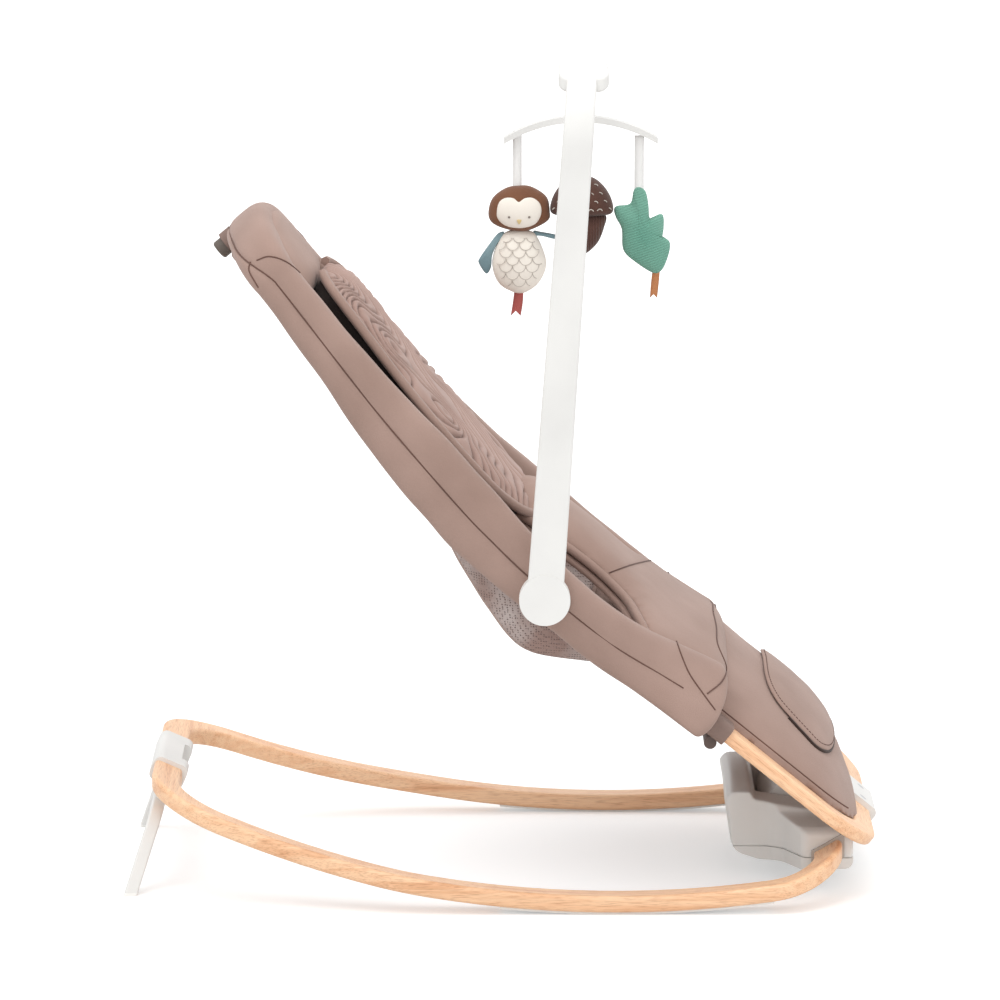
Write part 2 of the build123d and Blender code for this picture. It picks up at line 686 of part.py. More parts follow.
pocket = range(POCKET_FRONT, POCKET_REAR + 1)
seat_bottom = loft([bottom_section(index) for index in pocket])
gusset = loft([gusset_section(index) for index in pocket])
pieces["seat_bottom"] = seat_bottom.solid()
pieces["mesh_gusset_left"] = gusset.solid()
pieces["mesh_gusset_right"] = mirrored(gusset.solid())
knee_panel = loft([back_section(index) for index in range(KNEE, POCKET_FRONT + 1)])
pieces["knee_panel"] = knee_panel.solid()

# Foot pad on the wooden loop, with a pocket patch on its front

pad_half = LOOP_HALF_SPAN - 6
pad_low = LOOP_THICK / 2 + 0.5
across_slope = Plane(origin=on_loop(0, -20, 0), x_dir=(-1, 0, 0), z_dir=loop_plane.y_dir)


def pad_form(proud, plan):
    """Cushion on the loop: side profile, crown across and plan crossed; proud raises the upper side."""
    side = outline(
        [
            (6, pad_low, 0),
            (PAD_LENGTH, pad_low, 0),
            (PAD_LENGTH, PAD_HIGH - 2 + proud, 14),
            (108, PAD_HIGH + 2 + proud, 60),
            (58, PAD_HIGH - 11 + proud, 40),
            (6, pad_low + 3 + proud, 3),
        ]
    )
    crown = outline(
        [
            (-pad_half, pad_low, 0),
            (pad_half, pad_low, 0),
            (pad_half, PAD_HIGH - 19 + proud, 16),
            (pad_half * 0.55, PAD_HIGH + 4 + proud, 90),
            (-pad_half * 0.55, PAD_HIGH + 4 + proud, 90),
            (-pad_half, PAD_HIGH - 19 + proud, 16),
        ]
    )
    swollen = slope_prism(side, -pad_half, pad_half)
    swollen = swollen & extrude(across_slope * crown, amount=PAD_LENGTH + 60)
    return swollen & extrude(loop_plane * plan, amount=PAD_HIGH + 40)


pad_plan = outline(
    [
        (-pad_half, PAD_LENGTH, 8),
        (-pad_half, 6, 60),
        (pad_half, 6, 60),
        (pad_half, PAD_LENGTH, 8),
    ]
)
pad = pad_form(0, pad_plan)
pad_body = pad - pieces["sleeve_left"] - pieces["sleeve_right"] - pieces["knee_panel"]
pad_body = pad_body - pieces["bracket_clamp_cap"] - pieces["clamp_screws"]
pad_body = pad_body - pieces["ferrule_left"] - pieces["ferrule_right"]
pieces["foot_pad"] = largest(pad_body)
patch_plan = outline(
    [
        (-pad_half + 70, 150, 40),
        (-pad_half + 46, 46, 40),
        (pad_half - 46, 46, 40),
        (pad_half - 70, 150, 40),
    ]
)
pieces["foot_patch"] = largest(pad_form(PATCH_THICK, patch_plan) - pad)

# Infant insert on the back panel and crotch bib over the pocket

INSERT = [(6, 100, 36, 42), (7, 104, 33, 40), (8, 96, 32, 41), (9, 84, 31, 42), (10, 66, 26, 33)]


def cushion_face(half, edge_high, edge_low, crown, middle_low):
    """Face between an upper and a lower arc with upright sides."""
    upper = ThreePointArc((half, edge_high), (0, crown), (-half, edge_high))
    lower = ThreePointArc((-half, edge_low), (0, middle_low), (half, edge_low))
    left = Line((-half, edge_high), (-half, edge_low))
    right = Line((half, edge_low), (half, edge_high))
    return make_face([upper, left, lower, right])


def insert_section(index, half, edge, crown):
    """Cushion section on the back panel."""
    low = -STATIONS[index][5] + 1.0
    return station_plane(index, 0) * cushion_face(half, edge, edge - 12, crown, low)


insert = loft([insert_section(*row) for row in INSERT])
insert = insert - pieces["back_panel"]
pieces["infant_insert"] = largest(insert)

# Soft filling of the head end, level with the top of the insert

HEAD_PAD = [(-37, 68, 24, 33), (-14, 76, 27, 38), (12, 74, 27, 38), (30, 68, 24, 34)]


def head_pad_section(along_back, half, edge, crown):
    """Cushion section at a distance from the head station."""
    face = cushion_face(half, edge, edge - 22, crown, -10)
    return station_plane(HEAD, 0).offset(-along_back) * face


head_pad = loft([head_pad_section(*row) for row in HEAD_PAD])
head_pad = head_pad - pieces["back_panel"] - pieces["head_bolster"]
head_pad = head_pad - pieces["sleeve_left"] - pieces["sleeve_right"]
pieces["head_pad"] = largest(head_pad)

BIB = [
    (0, 148, 28, 36),
    (1, 146, 29, 39),
    (2, 94, 31, 43),
    (3, 76, 31, 44),
    (4, 70, 30, 43),
    (5, 44, 24, 38),
]
BIB_AHEAD = 20.0
BIB_THICK = 14.0


def bib_section(index, half, edge, crown):
    """Crowned strip of the crotch bib."""
    return station_plane(index, 0) * cushion_face(half, edge, edge - 10, crown, crown - BIB_THICK)


bib_lip = station_plane(KNEE, 0).offset(BIB_AHEAD) * cushion_face(136, 24, 6, 27, 8)
bib = loft([bib_lip] + [bib_section(*row) for row in BIB])
bib = bib - pieces["foot_pad"] - pieces["infant_insert"]
pieces["crotch_bib"] = largest(bib)

# Recline button behind the head

press_dir = Vector(0, sin(back_slope), -cos(back_slope))
head_rear = Vector(0, head_y, head_z) - press_dir * HEAD_LOW
button_radius = 9.0


def on_press_line(distance):
    """Point behind the head bolster's rear face, along the way the button stands out."""
    return tuple(head_rear + press_dir * distance)


cup_floor = HEAD_LOW + TUBE_RADIUS + 2
button_end = 14.0
cup = bar_between(on_press_line(cup_floor), on_press_line(4), button_radius + 3)
bore = bar_between(on_press_line(cup_floor + 1.5), on_press_line(5), button_radius + RUNNING_GAP)
button = bar_between(on_press_line(cup_floor + 7), on_press_line(button_end), button_radius)
pieces["head_bolster"] = (pieces["head_bolster"] - cup).solid()
pieces["button_cup"] = (cup - bore).solid()
button_rims = button.edges().filter_by(GeomType.CIRCLE)
button_front = button_rims.sort_by_distance(on_press_line(button_end))[0]
pieces["recline_button"] = fillet(button_front, 2).solid()

# Toy bar: side socket, arm and bow

arm_end_z = BAR_TOP_Z - ARM_DROP
arm_front = ribbon(
    [
        (BAR_X, BAR_Z - 40, 0),
        (BAR_X, BAR_TOP_Z + 14, 60),
        (0, arm_end_z, 0),
    ],
    BAR_THICK,
)
post_side = outline(
    [
        (BAR_Y - BAR_FOOT_WIDE / 2, BAR_Z, 0),
        (BAR_Y + BAR_FOOT_WIDE / 2, BAR_Z, 0),
        (BAR_TOP_Y + BAR_TOP_WIDE / 2, BAR_TOP_Z + 20, 0),
        (BAR_TOP_Y - BAR_TOP_WIDE / 2, BAR_TOP_Z + 20, 0),
    ]
)
arm_plan = outline(
    [
        (BAR_X + 24, BAR_TOP_Y - ARM_WIDE / 2, 10),
        (12, BAR_TOP_Y - ARM_WIDE / 2 + 8, 14),
        (12, BAR_TOP_Y + ARM_WIDE / 2 - 8, 14),
        (BAR_X + 24, BAR_TOP_Y + ARM_WIDE / 2, 10),
    ]
)
arm_limits = prism_x(post_side, BAR_X - 30, BAR_X + 60) + prism_z(arm_plan, arm_end_z - 20, BAR_TOP_Z + 30)
arm = prism_y(arm_front, BAR_TOP_Y - 60, BAR_Y + 60) & arm_limits
arm_rims = [edge for edge in arm.edges() if edge.length > 100 or 45 < edge.length < 70]
arm = fillet(arm_rims, ARM_ROUND)
arm += rod_x(BAR_Y, BAR_Z, BAR_DISC_RADIUS, BAR_X - BAR_THICK / 2 - 1, disc_inner)
arm -= rod_x(BAR_Y, BAR_Z, BAR_PIN_RADIUS + RUNNING_GAP, BAR_X - 2 - RUNNING_GAP, disc_inner + 1)
pieces["toy_arm"] = arm.solid()
bow_top_z = arm_end_z - 19


def bow_arc(shift):
    """Curve of the bow moved up or down."""
    end_z = bow_top_z - BOW_RISE + shift
    front = (BAR_TOP_Y - BOW_HALF, end_z)
    rear = (BAR_TOP_Y + BOW_HALF, end_z)
    return ThreePointArc(rear, (BAR_TOP_Y, bow_top_z + shift), front)


def between(low, high):
    """Face between two curves that run the same way."""
    return make_face([low, high, Line(low @ 0, high @ 0), Line(low @ 1, high @ 1)])


bow_side = between(bow_arc(-BOW_THICK / 2), bow_arc(BOW_THICK / 2))
bow = prism_x(bow_side, -BOW_WIDE / 2, BOW_WIDE / 2)
below_bow = prism_x(between(bow_arc(-60), bow_arc(BOW_THICK / 2)), -BOW_WIDE, BOW_WIDE)
stem = Pos(0, BAR_TOP_Y, arm_end_z - 9) * Cylinder(8, 18)
pieces["bow_stem"] = largest(stem - below_bow - pieces["toy_arm"])
pieces["mobile_bow"] = bow.solid()

# Toys hanging from the bow, drawn in the (Y, Z) plane

above_bow = between(bow_arc(-BOW_THICK / 2 - STRAP_GAP), bow_arc(60))


def ribbon_piece(face):
    """Flat ribbon in the middle plane."""
    return largest(prism_x(face, -RIBBON_THICK / 2, RIBBON_THICK / 2))


def upright(y, low, high, wide):
    """Face of a ribbon that hangs straight down."""
    return Pos(y, (low + high) / 2) * Rectangle(wide, high - low)


def half_space(low, high):
    """Block between two heights."""
    return Pos(0, BAR_TOP_Y, (low + high) / 2) * Box(300, 300, high - low)


owl_y = BAR_TOP_Y + 58
neck_z = bow_top_z - 108
head_z_mid = neck_z + 22
body_z_mid = neck_z - 26
head_oval = Pos(owl_y, head_z_mid) * Ellipse(27.5, 24)
body_half_wide = 26
body_half_high = 30
body_oval = Pos(owl_y, body_z_mid) * Ellipse(body_half_wide, body_half_high)
owl_head = ellipsoid((0, owl_y, head_z_mid), 18, 27.5, 24) & half_space(neck_z, neck_z + 90)
body_form = ellipsoid((0, owl_y, body_z_mid), 19, body_half_wide, body_half_high)
owl_body = body_form & half_space(neck_z - 100, neck_z - 0.3)
face_shape = outline(
    [
        (-20, 8, 9),
        (20, 8, 9),
        (22, 32, 9),
        (8, 38, 5),
        (0, 32, 3),
        (-8, 38, 5),
        (-22, 32, 9),
    ]
)
face_block = prism_x(Pos(owl_y, neck_z) * face_shape, -30, -8)
pieces["owl_head"] = (owl_head - face_block).solid()
pieces["owl_face"] = (owl_head & face_block).solid()
pieces["owl_body"] = owl_body.solid()


def stuffed_wing(ahead, below, turn, half_wide, half_long):
    """Oval wing at a place from the neck, flat where it is sewn to the body."""
    middle_z = neck_z - below
    around = atan2((middle_z - body_z_mid) / body_half_high, ahead / body_half_wide)
    facing = degrees(atan2(sin(around) / body_half_high, cos(around) / body_half_wide))
    seam_y = owl_y + body_half_wide * cos(around)
    seam_z = body_z_mid + body_half_high * sin(around)
    body_side = Pos(seam_y, seam_z) * Rot(0, 0, facing) * Pos(-49.65, 0) * Rectangle(100, 140)
    oval = Pos(owl_y + ahead, middle_z) * Rot(0, 0, turn) * Ellipse(half_wide, half_long)
    plate = largest(prism_x(oval - body_side, -6, 6))
    return plate & ellipsoid((0, owl_y + ahead, middle_z), 4.5, 30, 30)


pieces["owl_wing_rear"] = stuffed_wing(25, 19, 26, 8, 21).solid()
pieces["owl_wing_front"] = stuffed_wing(-22, 9, 75, 7, 12).solid()
pieces["owl_tail"] = ribbon_piece(upright(owl_y + 1, neck_z - 79, neck_z - 34, 12) - body_oval)
pieces["owl_strap"] = ribbon_piece(upright(owl_y + 2, neck_z + 31, bow_top_z, 10) - head_oval - above_bow)

acorn_y = BAR_TOP_Y - 1
rim_z = bow_top_z - 90
acorn_cap = ellipsoid((0, acorn_y, rim_z), 26, 29, 36) & half_space(rim_z, rim_z + 70)
acorn_nut = ellipsoid((0, acorn_y, rim_z - 3), 20, 22, 38) & half_space(rim_z - 120, rim_z - 0.3)
cap_oval = Pos(acorn_y, rim_z) * Ellipse(29, 36)
pieces["acorn_cap"] = acorn_cap.solid()
pieces["acorn_nut"] = acorn_nut.solid()
pieces["acorn_strap"] = ribbon_piece(upright(acorn_y, rim_z + 23, bow_top_z, 10) - cap_oval - above_bow)

leaf_y = BAR_TOP_Y - 55
leaf_z = bow_top_z - 107
leaf_shape = Pos(leaf_y, leaf_z) * outline(
    [
        (-5, 43, 4),
        (7, 41, 4),
        (9, 27, 4),
        (22, 19, 4),
        (16, 0, 5),
        (16, -18, 8),
        (-13, -42, 4),
        (-21, -38, 4),
        (-30, -12, 5),
        (-22, -6, 4),
        (-24, 16, 4),
        (-11, 13, 4),
        (-8, 26, 4),
    ]
)
leaf = prism_x(leaf_shape, -12, 12) & ellipsoid((0, leaf_y, leaf_z), 11, 36, 54)
pieces["leaf_body"] = leaf.solid()
pieces["leaf_tail"] = ribbon_piece(upright(leaf_y - 16, leaf_z - 65, leaf_z - 10, 9) - leaf_shape)
pieces["leaf_strap"] = ribbon_piece(upright(leaf_y, leaf_z + 30, bow_top_z, 9) - leaf_shape - above_bow)

# Put the origin on the floor under the middle of the whole object, and write every piece

boxes = [shape.bounding_box() for shape in pieces.values()]
low_x = min(box.min.X for box in boxes)
high_x = max(box.max.X for box in boxes)
low_y = min(box.min.Y for box in boxes)
high_y = max(box.max.Y for box in boxes)
low_z = min(box.min.Z for box in boxes)
to_origin = Pos(-(low_x + high_x) / 2, -(low_y + high_y) / 2, -low_z)
os.makedirs("parts", exist_ok=True)
for name, shape in pieces.items():
    export_step(to_origin * shape, f"parts/{name}.step")
print("moved by", to_origin.position)
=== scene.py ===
"""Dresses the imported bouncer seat: padded cover, stuffed toys, finishes, studio and camera."""

import json
import logging
import math
from dataclasses import dataclass, field
from enum import Enum
from typing import Sequence

import bmesh
import bpy
import numpy as np
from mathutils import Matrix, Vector, noise
from mathutils.bvhtree import BVHTree


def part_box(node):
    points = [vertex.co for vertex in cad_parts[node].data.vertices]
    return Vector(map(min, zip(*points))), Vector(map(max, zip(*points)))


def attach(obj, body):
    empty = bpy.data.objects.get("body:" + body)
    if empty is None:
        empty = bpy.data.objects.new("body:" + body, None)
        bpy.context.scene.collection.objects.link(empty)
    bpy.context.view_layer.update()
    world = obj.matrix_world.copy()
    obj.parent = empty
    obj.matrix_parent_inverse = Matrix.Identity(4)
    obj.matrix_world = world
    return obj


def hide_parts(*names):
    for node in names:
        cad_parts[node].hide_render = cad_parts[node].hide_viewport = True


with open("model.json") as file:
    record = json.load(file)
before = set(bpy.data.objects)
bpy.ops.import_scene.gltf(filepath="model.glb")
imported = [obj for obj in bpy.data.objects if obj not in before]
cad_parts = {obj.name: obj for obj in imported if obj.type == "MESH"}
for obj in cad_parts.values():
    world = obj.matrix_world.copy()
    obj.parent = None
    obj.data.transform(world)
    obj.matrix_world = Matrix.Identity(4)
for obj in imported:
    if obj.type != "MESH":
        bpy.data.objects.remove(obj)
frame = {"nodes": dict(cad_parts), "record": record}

LOG = logging.getLogger("bouncer_seat")
Colour = tuple[float, float, float]
Corner = tuple[float, float]
# Sizes of the drawing, in millimetres: Y of the hub axle, and where the side lines meet the head end.
AXLE_Y = -265.0
HEAD_Y, HEAD_Z = 212.0, 576.0
BACK_SLOPE = math.radians(49.9)
LOOP_SLOPE = math.radians(39.2)
WHITE = (1, 1, 1, 1)
PAINTED_SHADE_ATTRIBUTE = "painted_shade"  # point attribute of painted shade and shadow, which darkens a cloth's colour
MIRROR = np.array([-1.0, 1, 1])
CLOTH_PRESSURE = 4.0
CLOTH_FRAMES = 20
# Stuffed toys: half thickness at the seam in millimetres, how fast they swell from it, and height of the bow.
SEAM_HALF = 0.8
FULLNESS = 2.2
BOW_Z = 717.0
TAPE_HALF = 0.7


class Body(Enum):
    """Moving bodies of the frame that pieces ride on."""

    BASE = "base"
    SEAT = "seat"
    BAR = "toy_bar"
    OWL = "owl"
    ACORN = "acorn"
    LEAF = "leaf"


def frame_shift() -> np.ndarray:
    """Offset in metres from the drawing, in millimetres, to the row frame."""
    low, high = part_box("hub_axle")
    return np.array([(low.x + high.x) / 2, (low.y + high.y) / 2 - AXLE_Y / 1000, 0.0])


SHIFT = frame_shift()


def to_row(points: Sequence) -> np.ndarray:
    """Drawing millimetres to row frame metres."""
    return np.asarray(points, float) / 1000 + SHIFT


def to_drawing(points: np.ndarray) -> np.ndarray:
    """Row frame metres to drawing millimetres."""
    return (points - SHIFT) * 1000


def linear(colour: Colour) -> tuple[float, float, float, float]:
    """Screen colour of 0 to 255 as a linear colour with alpha."""
    parts = []
    for value in colour:
        share = value / 255
        parts.append(share / 12.92 if share <= 0.04045 else ((share + 0.055) / 1.055) ** 2.4)
    return (*parts, 1.0)


def rise(low: float, high: float, value: np.ndarray) -> np.ndarray:
    """Smooth step from 0 at low to 1 at high."""
    share = np.clip((value - low) / (high - low), 0, 1)
    return share * share * (3 - 2 * share)


def spline(part: np.ndarray, rows: Sequence[np.ndarray]) -> np.ndarray:
    """Smooth values between the second and third of four rows in a line.

    Args:
        part: share of the way from the second row to the third.
        rows: the rows before, here, after and beyond.

    Returns:
        The values at that share.
    """
    before, here, after, beyond = rows
    first = (after - before) * part
    second = (2 * before - 5 * here + 4 * after - beyond) * part**2
    third = (3 * here - before - 3 * after + beyond) * part**3
    return 0.5 * (2 * here + first + second + third)


def along(table: np.ndarray, place: np.ndarray) -> np.ndarray:
    """Smooth values of a table's columns between its rows.

    Args:
        table: one row for each station.
        place: row positions, which may be fractions.

    Returns:
        One row of values for each position.
    """
    index = np.clip(np.floor(place).astype(int), 0, len(table) - 2)
    part = (place - index)[:, None]
    longer = np.vstack([2 * table[0] - table[1], table, 2 * table[-1] - table[-2]])
    return spline(part, [longer[index + step] for step in range(4)])


def closed_curve(corners: Sequence[Corner], count: int) -> np.ndarray:
    """Smooth closed outline through its corners, as count points."""
    ring = np.array(corners, float)
    longer = np.vstack([ring[-1:], ring, ring[:2]])
    place = np.linspace(0, len(ring), count, endpoint=False) + 1
    index = np.floor(place).astype(int)
    part = (place - index)[:, None]
    beyond = ring[(index + 1) % len(ring)]
    return spline(part, [longer[index - 1], longer[index], longer[index + 1], beyond])


def squarish(angle: np.ndarray, power: float) -> tuple[np.ndarray, np.ndarray]:
    """Shares across and upward of a ring that is squarer with a lower power."""
    cosine, sine = np.cos(angle), np.sin(angle)
    return np.sign(cosine) * np.abs(cosine) ** power, np.sign(sine) * np.abs(sine) ** power


def on_slope(
    origin: Corner, slope: float, run: np.ndarray, above: np.ndarray
) -> tuple[np.ndarray, np.ndarray]:
    """Y and Z of places given by their run up a slope and their height above it."""
    y = origin[0] + math.cos(slope) * run - math.sin(slope) * above
    z = origin[1] + math.sin(slope) * run + math.cos(slope) * above
    return y, z


def shifted(corners: Sequence[Corner], y: float, z: float) -> list[Corner]:
    """Corners of an outline, moved to a place."""
    return [(y + a, z + b) for a, b in corners]


def linked(name: str, data: bpy.types.ID | None) -> bpy.types.Object:
    """A new object of the scene."""
    item = bpy.data.objects.new(name, data)
    bpy.context.scene.collection.objects.link(item)
    return item


# Finishes


class Board:
    """A node tree to which nodes are added."""

    def __init__(self, tree: bpy.types.NodeTree) -> None:
        self.tree = tree

    def add(self, kind: str, **inputs: object) -> bpy.types.Node:
        """Adds a node and fills its inputs with values or links.

        Args:
            kind: node type name.
            inputs: input names with spaces as underscores.

        Returns:
            The new node.
        """
        node = self.tree.nodes.new(kind)
        for name, value in inputs.items():
            self.feed(node.inputs[name.replace("_", " ")], value)
        return node

    def feed(self, socket: bpy.types.NodeSocket, value: object) -> None:
        """Links an output to a socket, or sets its value."""
        if isinstance(value, bpy.types.NodeSocket):
            self.tree.links.new(value, socket)
        else:
            socket.default_value = value

    def math(self, operation: str, first: object, second: object = 0.0) -> bpy.types.NodeSocket:
        """Result of a sum on two values."""
        node = self.tree.nodes.new("ShaderNodeMath")
        node.operation = operation
        self.feed(node.inputs[0], first)
        self.feed(node.inputs[1], second)
        return node.outputs[0]


class NodeBoard(Board):
    """A material with its shader, to which texture nodes are added."""

    def __init__(self, name: str) -> None:
        self.material = bpy.data.materials.new(name)
        self.material.use_nodes = True
        super().__init__(self.material.node_tree)
        self.shader = self.tree.nodes["Principled BSDF"]
        self.place = self.add("ShaderNodeTexCoord").outputs["Object"]

    def mapped(self, scale: Sequence[float], turn: Sequence[float] = (0, 0, 0)) -> bpy.types.NodeSocket:
        """Object coordinates, turned and then scaled."""
        turned = self.add("ShaderNodeMapping", Vector=self.place, Rotation=turn)
        return self.add("ShaderNodeMapping", Vector=turned.outputs[0], Scale=scale).outputs[0]

    def noise(self, vector: bpy.types.NodeSocket, scale: float, detail: float = 3.0) -> bpy.types.NodeSocket:
        """Noise value."""
        return self.add("ShaderNodeTexNoise", Vector=vector, Scale=scale, Detail=detail).outputs[0]

    def ramp(
        self, factor: bpy.types.NodeSocket, stops: Sequence[tuple[float, Colour]]
    ) -> bpy.types.NodeSocket:
        """Colour read from stops of (place, screen colour)."""
        node = self.add("ShaderNodeValToRGB", Fac=factor)
        band = node.color_ramp.elements
        while len(band) < len(stops):
            band.new(0.5)
        for element, (place, colour) in zip(band, stops):
            element.position = place
            element.color = linear(colour)
        return node.outputs[0]

    def blend(
        self, factor: object, first: object, second: object, mode: str = "MIX"
    ) -> bpy.types.NodeSocket:
        """Two colours mixed."""
        node = self.tree.nodes.new("ShaderNodeMix")
        node.data_type = "RGBA"
        node.blend_type = mode
        self.feed(node.inputs[0], factor)
        self.feed(node.inputs[6], first)
        self.feed(node.inputs[7], second)
        return node.outputs[2]

    def bump(self, height: bpy.types.NodeSocket, depth: float, strength: float = 1.0) -> None:
        """Adds surface relief of a depth in metres."""
        shader_normal = self.shader.inputs["Normal"]
        node = self.add("ShaderNodeBump", Height=height, Distance=depth, Strength=strength)
        if shader_normal.is_linked:
            self.feed(node.inputs["Normal"], shader_normal.links[0].from_socket)
        self.feed(shader_normal, node.outputs[0])

    def set(self, **inputs: object) -> None:
        """Fills inputs of the shader."""
        for name, value in inputs.items():
            self.feed(self.shader.inputs[name.replace("_", " ")], value)


@dataclass(frozen=True)
class Finish:
    """A look that becomes a material at its first use."""

    name: str

    def material(self) -> bpy.types.Material:
        """The material, made once."""
        known = bpy.data.materials.get(self.name)
        return known if known else self.make()

    def make(self) -> bpy.types.Material:
        """Builds the nodes."""
        raise NotImplementedError


@dataclass(frozen=True)
class Knit(Finish):
    """Knitted or woven cloth with a heathered colour and a fine stitch, and painted shade from a point
    attribute where asked.
    """

    light: Colour
    dark: Colour
    pitch: float = 1.1
    depth: float = 0.00025
    ribs: float = 0.0
    rib_turn: float = 0.0
    speckle: float = 0.16
    paints_shade: bool = False
    band: float = 3.1415
    rough: float = 0.92
    sheen: float = 0.18

    def make(self) -> bpy.types.Material:
        """Builds the nodes."""
        board = NodeBoard(self.name)
        cloud = board.noise(board.place, 14.0, 2.0)
        colour = board.ramp(cloud, [(0.3, self.dark), (0.7, self.light)])
        fibre = board.noise(board.place, 1000 / self.pitch * 0.8, 2.0)
        darker = tuple(value * 0.72 for value in self.dark)
        grain = board.math("MULTIPLY", fibre, self.speckle)
        colour = board.blend(grain, colour, linear(darker))
        # Painted shade and shadow: the colour darkens by the stored point attribute.
        if self.paints_shade:
            painted_shade_node = board.add("ShaderNodeAttribute")
            painted_shade_node.attribute_name = PAINTED_SHADE_ATTRIBUTE
            painted_shade_tone = tuple(value * 0.3 for value in self.dark)
            colour = board.blend(painted_shade_node.outputs["Fac"], colour, linear(painted_shade_tone))
        cells = board.add("ShaderNodeTexVoronoi", Vector=board.place, Scale=1000 / self.pitch)
        board.bump(cells.outputs[0], self.depth, 0.5)
        board.bump(board.noise(board.place, 45.0, 2.0), 0.0012, 0.35)
        if self.ribs:
            turned = board.mapped((1, 1, 1), (self.rib_turn, 0, 0))
            scale = 1000 / self.ribs / self.band
            wave = board.add("ShaderNodeTexWave", Vector=turned, Scale=scale, Distortion=0.6)
            wave.bands_direction = "Z"
            colour = board.blend(board.math("MULTIPLY", wave.outputs[1], 0.26), colour, linear(darker))
            board.bump(wave.outputs[1], -0.0007, 0.8)
        board.set(Base_Color=colour, Roughness=self.rough, Specular_IOR_Level=0.15)
        board.set(Sheen_Weight=self.sheen, Sheen_Roughness=0.5)
        return board.material


@dataclass(frozen=True)
class MeshCloth(Finish):
    """Open mesh with small round holes painted dark as the shade seen through them, and a lighter mottle
    painted as sheen.
    """

    yarn: Colour
    hole_shade: Colour
    glint: Colour = (188, 176, 172)
    pitch: float = 3.2

    def make(self) -> bpy.types.Material:
        """Builds the nodes."""
        board = NodeBoard(self.name)
        holes = 1000 / self.pitch
        cells = board.add("ShaderNodeTexVoronoi", Vector=board.place, Scale=holes, Randomness=0.25)
        # Painted shade: the holes take the dark tone of the shaded inside that shows through them.
        inside = board.ramp(cells.outputs[0], [(0.22, (255, 255, 255)), (0.36, (0, 0, 0))])
        # Painted sheen: a lighter mottle towards the glint colour.
        sheen = board.ramp(board.noise(board.place, 22.0), [(0.35, self.yarn), (0.7, self.glint)])
        colour = board.blend(inside, sheen, linear(self.hole_shade))
        board.bump(inside, -0.0005, 0.9)
        board.set(Base_Color=colour, Roughness=0.7, Sheen_Weight=0.1, Specular_IOR_Level=0.3)
        return board.material


@dataclass(frozen=True)
class Oak(Finish):
    """Lacquered oak whose grain runs along the sides and turns into the cross members."""

    turn_half: float = 0.175
    slope: float = 0.0
    figure: tuple = (
        (0.28, (228, 172, 128)), (0.44, (243, 194, 152)), (0.58, (250, 208, 168)), (0.75, (238, 184, 142))
    )
    pore: Colour = (164, 112, 72)

    def make(self) -> bpy.types.Material:
        """Builds the nodes."""
        board = NodeBoard(self.name)
        turn = (-self.slope, 0, 0)
        apart = board.add("ShaderNodeSeparateXYZ", Vector=board.place)
        side = board.math("ABSOLUTE", board.math("SUBTRACT", apart.outputs[0], float(SHIFT[0])))
        inner = self.turn_half - 0.03
        edge = board.add("ShaderNodeMapRange", Value=side, From_Min=inner, From_Max=self.turn_half)
        parts = []
        for scale in ((1.0, 22.0, 22.0), (22.0, 1.0, 22.0)):
            stretched = board.mapped(scale, turn)
            figure = board.add("ShaderNodeTexNoise", Vector=stretched, Scale=6.0, Detail=6.0, Distortion=0.5)
            pores = board.noise(board.mapped(tuple(value * 2.2 for value in scale), turn), 30.0, 4.0)
            parts.append((figure.outputs[0], pores))
        choice = edge.outputs[0]
        figure = board.blend(choice, parts[0][0], parts[1][0])
        pores = board.blend(choice, parts[0][1], parts[1][1])
        wood = board.ramp(figure, self.figure)
        streak = board.ramp(pores, [(0.34, self.pore), (0.5, (255, 255, 255))])
        colour = board.blend(0.36, wood, streak, "MULTIPLY")
        rough = board.add("ShaderNodeMapRange", Value=pores, To_Min=0.5, To_Max=0.36)
        board.bump(pores, 0.00025, 0.4)
        board.set(Base_Color=colour, Roughness=rough.outputs[0], Coat_Weight=0.12, Coat_Roughness=0.3)
        return board.material


@dataclass(frozen=True)
class Moulded(Finish):
    """Moulded plastic or rubber with a faint grain."""

    tone: Colour
    rough: float = 0.38
    metal: float = 0.0
    grain: float = 0.00006

    def make(self) -> bpy.types.Material:
        """Builds the nodes."""
        board = NodeBoard(self.name)
        cloud = board.noise(board.place, 9.0, 3.0)
        lower = tuple(value * 0.965 for value in self.tone)
        colour = board.ramp(cloud, [(0.35, lower), (0.65, self.tone)])
        fine = board.noise(board.place, 900.0, 2.0)
        least, most = self.rough - 0.05, self.rough + 0.08
        rough = board.add("ShaderNodeMapRange", Value=fine, To_Min=least, To_Max=most)
        board.bump(fine, self.grain, 0.5)
        board.set(Base_Color=colour, Roughness=rough.outputs[0], Metallic=self.metal)
        return board.material


@dataclass(frozen=True)
class Webbing(Finish):
    """Flat woven tape with rows along it."""

    tone: Colour
    pitch: float = 1.0
    band: float = 3.14

    def make(self) -> bpy.types.Material:
        """Builds the nodes."""
        board = NodeBoard(self.name)
        rows = []
        for direction in ("Y", "Z"):
            wave = board.add("ShaderNodeTexWave", Vector=board.place, Scale=1000 / self.pitch / self.band)
            wave.bands_direction = direction
            rows.append(wave.outputs[1])
        weave = board.math("MULTIPLY", rows[0], rows[1])
        lower = tuple(value * 0.93 for value in self.tone)
        board.bump(weave, 0.0002, 0.7)
        colour = board.ramp(weave, [(0.1, lower), (0.6, self.tone)])
        board.set(Base_Color=colour, Roughness=0.85, Sheen_Weight=0.1)
        return board.material


